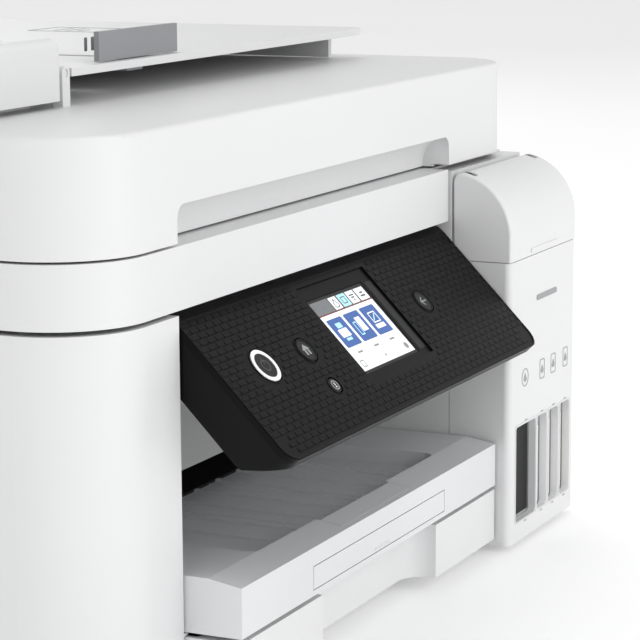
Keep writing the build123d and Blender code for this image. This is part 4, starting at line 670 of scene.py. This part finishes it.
def tray_details(finish, mark, dark):
    """Support ribs and a dark plate of painted shade at the rear of the tray floor, grip ribs at its lip,
    and an arrow.
    """
    place = on_top("output_tray", TRAY_FLOOR)
    ribs = [(rect(x, x + 1.0, -150, -60, 0.5), SUNK, 0.35) for x in (-82, -58, -34, 8, 32, 56)]
    relief("tray_ribs", "tray", finish, place, ribs, 0.1)
    # the dark rear plate is painted shade: it darkens the tray floor where it runs back into the shadow
    # under the casing
    relief("tray_painted_shade_sheet", "tray", dark, place, [(rect(-95.4, 69.2, -74.5, -27), SUNK, 1.08)])
    marks = [(rect(-20.1 + i * 3.0, -18.9 + i * 3.0, 33.4, 34.4, 0.2), SUNK, 0.2) for i in range(5)]
    relief("tray_lip_ribs", "tray", finish, on_front("output_tray"), marks, 0.05)
    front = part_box("tray_extension")[0].y / MM
    arrow = [(-17.5, front + 7.5), (-8.7, front + 7.5), (-13.1, front + 3.5)]
    relief("extension_arrow", "tray_extension", mark, on_top("tray_extension"), [(arrow, SUNK, 0.15)])


def cassette_details(finish, mark):
    """Ribs on the cassette's front and a small mark on each of its three guides."""
    ribs = [(rect(-120 + i * 2.4, -119 + i * 2.4, 12, 22, 0.4), SUNK, 0.3) for i in range(6)]
    relief("cassette_front_ribs", "cassette", finish, on_front("paper_cassette"), ribs, 0.08)
    for name in ("left", "right"):
        cx, cy, _ = middle_of("edge_guide_" + name)
        relief("guide_mark_" + name, "guide_" + name, mark, on_top("edge_guide_" + name),
               [(stroke(cx, cy - 4, cx, cy + 4, 0.6), SUNK, 0.12)])
    cx, cy, _ = middle_of("rear_guide")
    relief("guide_mark_rear", "guide_rear", mark, on_top("rear_guide"),
           [(stroke(cx - 5, cy, cx + 5, cy, 0.6), SUNK, 0.12)])


# ---------------------------------------------------------------- casing, scanner and lid
def casing_details(finish, dark):
    """Rimmed vents on both sides of the casing; each slot is a flat dark plate of painted shade in place of
    an opening.
    """
    for side, name in ((-1, "left"), (1, "right")):
        place = on_side("base_casing", side)
        # each vent slot is a flat dark plate: painted shade standing in for the inside of an opening
        vents = [(rect(60 + i * 7, 63 + i * 7, 84, 112, 1.2), SUNK, 0.12) for i in range(10)]
        relief("vent_shade_slots_" + name, "base", dark, place, vents)
        bars = [outlined(rect(59.2 + i * 7, 63.8 + i * 7, 83.2, 112.8, 1.8), 0.7, SUNK, 0.3)
                for i in range(10)]
        relief("vent_rims_" + name, "base", finish, place, bars, 0.08)


def lid_details(finish):
    """Raised border and four dots on the lid's white pad."""
    outer = rect(-160, 130, -92, 116, 6)
    dots = [(disc(x, y, 1.6, 20), SUNK, 0.12) for x in (-152, 122) for y in (-84, 108)]
    relief("pad_border", "lid", finish, on_floor("lid_pad"),
           [(outer, SUNK, 0.2, inset(outer, 1.4))] + dots, 0.05)


# ---------------------------------------------------------------- back and underside
SOCKETS = (("data", -127.5, 44, 12.5, 11), ("network", 142.5, 44, 16.5, 13.5))   # x, z, width, height
INLET_X, INLET_Z = -157.5, 30


def back_details(finish, dark, label):
    """Louvres drawn as flat dark plates of painted shade, a blank ruled plate, and rims round the two
    sockets and the mains inlet.
    """
    place = on_back("base_casing")
    slots, rims = [], []
    for i in range(14):
        x = -70 + i * 6
        # each louvre slot is a flat dark plate: painted shade standing in for an opening
        slots.append((rect(x, x + 2.6, 18, 40, 1.0), SUNK, 0.12))
        rims.append(outlined(rect(x - 0.8, x + 3.4, 17.2, 40.8, 1.6), 0.6, SUNK, 0.35))
    relief("back_louvre_shade", "base", dark, place, slots)
    relief("back_louvre_rims", "base", finish, place, rims, 0.08)
    relief("rating_plate", "base", label, place, [(rect(28, 84, 16, 42, 1.0), SUNK, 0.15)])
    relief("rating_plate_rules", "base", dark, place,
           [(rect(31, 81, 20 + i * 4.2, 20.4 + i * 4.2), 0.1, 0.2) for i in range(5)])
    for name, x, z, wide, high in SOCKETS:
        outer = rect(x - wide / 2 - 1.8, x + wide / 2 + 1.8, z - high / 2 - 1.8, z + high / 2 + 1.8, 1.0)
        relief(name + "_socket_rim", "base", finish, place, [(outer, SUNK, 0.4, inset(outer, 1.0))],
               0.08)
    outer = rect(INLET_X - 12.5, INLET_X + 12.5, INLET_Z - 8.5, INLET_Z + 8.5, 2.0)
    relief("inlet_rim", "base", finish, place, [(outer, SUNK, 0.4, inset(outer, 1.2))], 0.08)


def socket_linings(finish):
    """Dark sleeves in the two sockets, with a flat rim on the back."""
    place = on_back("base_casing")
    for name, x, z, wide, high in SOCKETS:
        outer = rect(x - wide / 2, x + wide / 2, z - high / 2, z + high / 2)
        edge = rect(x - wide / 2 + 1.5, x + wide / 2 - 1.5, z - high / 2 + 1.5, z + high / 2 - 1.5)
        relief(name + "_socket_sleeve", "base", finish, place,
               [(outer, SUNK, 0.12, inset(edge, 0.25)), (inset(edge, -0.02), -11.9, 0.0, inset(edge, 0.25)),
                (inset(edge, -0.02), -12.02, -11.8)])


def socket_contacts(gold):
    """Rows of contacts at the bottom of the two sockets."""
    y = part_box("base_casing")[1].y / MM - 11.5
    pins = [(rect(-130.0 + i * 1.7, -129.3 + i * 1.7, 41.2, 46.8), -0.1, 0.25) for i in range(4)]
    relief("data_contacts", "base", gold, lambda u, v, n: (u, y + n, v), pins)
    pins = [(rect(138.6 + i * 1.05, 139.1 + i * 1.05, 39.6, 42.6), -0.1, 0.25) for i in range(8)]
    relief("network_contacts", "base", gold, lambda u, v, n: (u, y + n, v), pins)


def rear_cover_details(finish):
    """Two groups of latch ribs on the removable rear cover."""
    ribs = [(rect(x + i * 3, x + 1.4 + i * 3, 62, 76, 0.5), SUNK, 0.3) for x in (-60, 20) for i in range(6)]
    relief("rear_cover_ribs", "rear_cover", finish, on_back("rear_cover"), ribs, 0.08)


def underside_details(dark, label):
    """A blank plate, and a row of vents under the casing drawn as flat dark plates of painted shade."""
    place = on_floor("base_casing")
    relief("underside_plate", "base", label, place, [(rect(-30, 30, 20, 60, 2), SUNK, 0.12)])
    # each vent slot is a flat dark plate: painted shade standing in for an opening
    slots = [(rect(-120 + i * 8, -117 + i * 8, 90, 140, 1.4), SUNK, 0.1) for i in range(12)]
    relief("underside_vent_shade", "base", dark, place, slots)


# ---------------------------------------------------------------- inside
def carriage_details(finishes, dark):
    """Front ribs, four colour patches and the head's nozzle rows on the carriage."""
    low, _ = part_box("print_carriage")
    x0, y0 = low.x / MM, low.y / MM
    place = on_front("print_carriage")
    ribs = [(rect(x0 + 6 + i * 5, x0 + 8 + i * 5, 92, 122, 0.6), SUNK, 0.3) for i in range(10)]
    relief("carriage_ribs", "carriage", finishes["bar_black"], place, ribs, 0.1)
    for i, name in enumerate(WINDOWS):
        relief("carriage_colour_" + name, "carriage", finishes["cap_" + name], place,
               [(rect(x0 + 8 + i * 12, x0 + 17 + i * 12, 80, 85, 0.6), SUNK, 0.3)], 0.1)
    rows = [(rect(x0 + 12 + i * 9, x0 + 13 + i * 9, y0 + 14, y0 + 30), SUNK, 0.08) for i in range(5)]
    relief("head_nozzle_rows", "carriage", dark, on_floor("print_carriage"), rows)


def power_unit_details(finish):
    """Vents on the side of the power unit."""
    low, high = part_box("power_supply")
    y0, z0, z1 = low.y / MM, low.z / MM + 6, high.z / MM - 6
    vents = [(rect(y0 + 6 + i * 7, y0 + 8 + i * 7, z0, z1, 0.8), SUNK, 0.3) for i in range(12)]
    relief("power_unit_vents", "base", finish, on_side("power_supply", 1), vents, 0.1)


def belt_details(finish):
    """Teeth along the timing belt."""
    low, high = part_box("timing_belt")
    teeth = []
    for i in range(60):
        x = low.x / MM + 14 + i * 5.1
        teeth.append((rect(x, x + 1.2, low.y / MM + 0.4, high.y / MM - 0.4), SUNK, 0.25))
    relief("belt_teeth", "base", finish, on_top("timing_belt"), teeth)


def scanner_details(white, dark):
    """Light bar and lens strip on the scan bar."""
    low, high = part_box("scan_bar")
    x, y0, y1 = middle_of("scan_bar")[0], low.y / MM + 8, high.y / MM - 8
    place = on_top("scan_bar")
    relief("scan_light", "scan_bar", white, place, [(rect(x - 5.2, x - 2.6, y0, y1, 0.8), SUNK, 0.12)])
    relief("scan_lens", "scan_bar", dark, place, [(rect(x - 0.8, x + 1.2, y0, y1, 0.5), SUNK, 0.12)])


def roller_details(finish):
    """Ribs on the rubber of the feed and pickup rollers, so that a turn can be seen."""
    for node in ("feed_roller", "pickup_roller"):
        low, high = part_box(node)
        cx, cy, cz = middle_of(node)
        radius = (high.z - low.z) / 2 / MM
        x0, x1 = low.x / MM + 24, high.x / MM - 24
        if node == "pickup_roller":
            x0, x1 = cx - 15, cx + 15
        bm = bmesh.new()
        for i in range(12):
            a = math.tau * i / 12
            s, c = math.sin(a), math.cos(a)
            prism(bm, lambda u, v, n: (u, cy + (radius + n) * c - v * s, cz + (radius + n) * s + v * c),
                  rect(x0, x1, -0.35, 0.35), -0.2, 0.05)
        finish_piece(node + "_ribs", bm, finish, node)


# ---------------------------------------------------------------- document feeder
def feeder_details(finishes, mark):
    """Page mark on the feeder's table, and grip ribs on its cover and guides."""
    page = rect(96, 124, 24, 62, 1.5)
    rules = [(rect(102, x1, y0, y0 + 1.2), SUNK, 0.12) for x1, y0 in ((118, 50), (118, 44), (112, 38))]
    relief("feeder_page_mark", "feeder_table", mark, on_top("feeder_table"),
           [(page, SUNK, 0.12, inset(page, 1.2))] + rules)
    ribs = [(rect(-150 + i * 3.2, -148.6 + i * 3.2, -66, -48, 0.6), SUNK, 0.3) for i in range(9)]
    relief("feeder_cover_ribs", "feeder_cover", finishes["white_shell"], on_top("feeder_cover"), ribs,
           0.1)
    for name, place in (("front", on_back), ("back", on_front)):
        guide = "feeder_guide_" + name
        low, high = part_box(guide)
        cx, z0, z1 = middle_of(guide)[0], low.z / MM + 8, high.z / MM - 3
        bars = [(rect(cx - 20 + i * 5, cx - 18 + i * 5, z0, z1, 0.5), SUNK, 0.2) for i in range(8)]
        relief("feeder_guide_ribs_" + name, guide, finishes["guide_grey"], place(guide), bars,
               0.05)


# ---------------------------------------------------------------- put together
def main():
    """Builds the stage, dresses the CAD nodes and adds every fine piece."""
    add_camera()
    add_stage()
    finishes = make_finishes()
    dress_nodes(finishes)
    white_mark = plastic("mark_white", (0.9, 0.9, 0.9), 0.4, 0.01)
    grey_mark = plastic("mark_grey", (0.30, 0.31, 0.32), 0.5, 0.02)
    dim_mark = plastic("mark_dim", (0.05, 0.05, 0.055), 0.4, 0.02)
    gold = metal("contact_gold", (0.75, 0.55, 0.2), 0.25)
    label = plastic("label_silver", (0.6, 0.61, 0.62), 0.35, 0.03, 300, 0.05)
    lit_white = glow("lit_white", (0.86, 0.88, 0.9), 0.35)
    lit_grey = glow("lit_grey", (0.16, 0.17, 0.18), 0.2)
    lit_cyan = glow("lit_cyan", (0.42, 0.75, 0.85), 0.3)
    lit_blue = glow("lit_blue", (0.03, 0.10, 0.34), 0.3)
    lit_red = glow("lit_red", (0.16, 0.03, 0.02), 0.2)
    lit_dark = glow("lit_dark", (0.10, 0.10, 0.11), 0.1)
    panel_emboss(finishes["panel_black"])
    panel_collars(finishes["panel_black"])
    panel_trim(finishes["panel_back"], finishes["button_black"])
    button_marks(finishes, white_mark, grey_mark, dim_mark)
    screen_fields(lit_white, lit_grey, lit_cyan, lit_red)
    screen_tiles(lit_blue, lit_white, lit_cyan, grey_mark)
    screen_small_icons(lit_dark, lit_grey, grey_mark)
    fills = {"cyan": plastic("fill_cyan", (0.76, 0.80, 0.81), 0.3),
             "magenta": plastic("fill_magenta", (0.81, 0.77, 0.79), 0.3),
             "yellow": plastic("fill_yellow", (0.82, 0.81, 0.75), 0.3)}
    tank_marks(grey_mark)
    window_frames(finishes["white_shell"])
    tank_levels(finishes["dark_inner"], fills)
    cap_grips(finishes)
    hood_details(finishes["white_shell"])
    tray_details(finishes["tray_grey"], grey_mark, finishes["dark_inner"])
    cassette_details(finishes["white_shell"], white_mark)
    casing_details(finishes["white_shell"], finishes["dark_inner"])
    lid_details(finishes["pad_white"])
    back_details(finishes["white_shell"], finishes["dark_inner"], label)
    socket_linings(finishes["inlet_black"])
    socket_contacts(gold)
    rear_cover_details(finishes["dark_inner"])
    underside_details(finishes["dark_inner"], label)
    carriage_details(finishes, finishes["steel"])
    power_unit_details(finishes["bar_black"])
    belt_details(finishes["rubber_dark"])
    scanner_details(lit_white, finishes["button_black"])
    roller_details(finishes["rubber_dark"])
    feeder_details(finishes, grey_mark)


main()
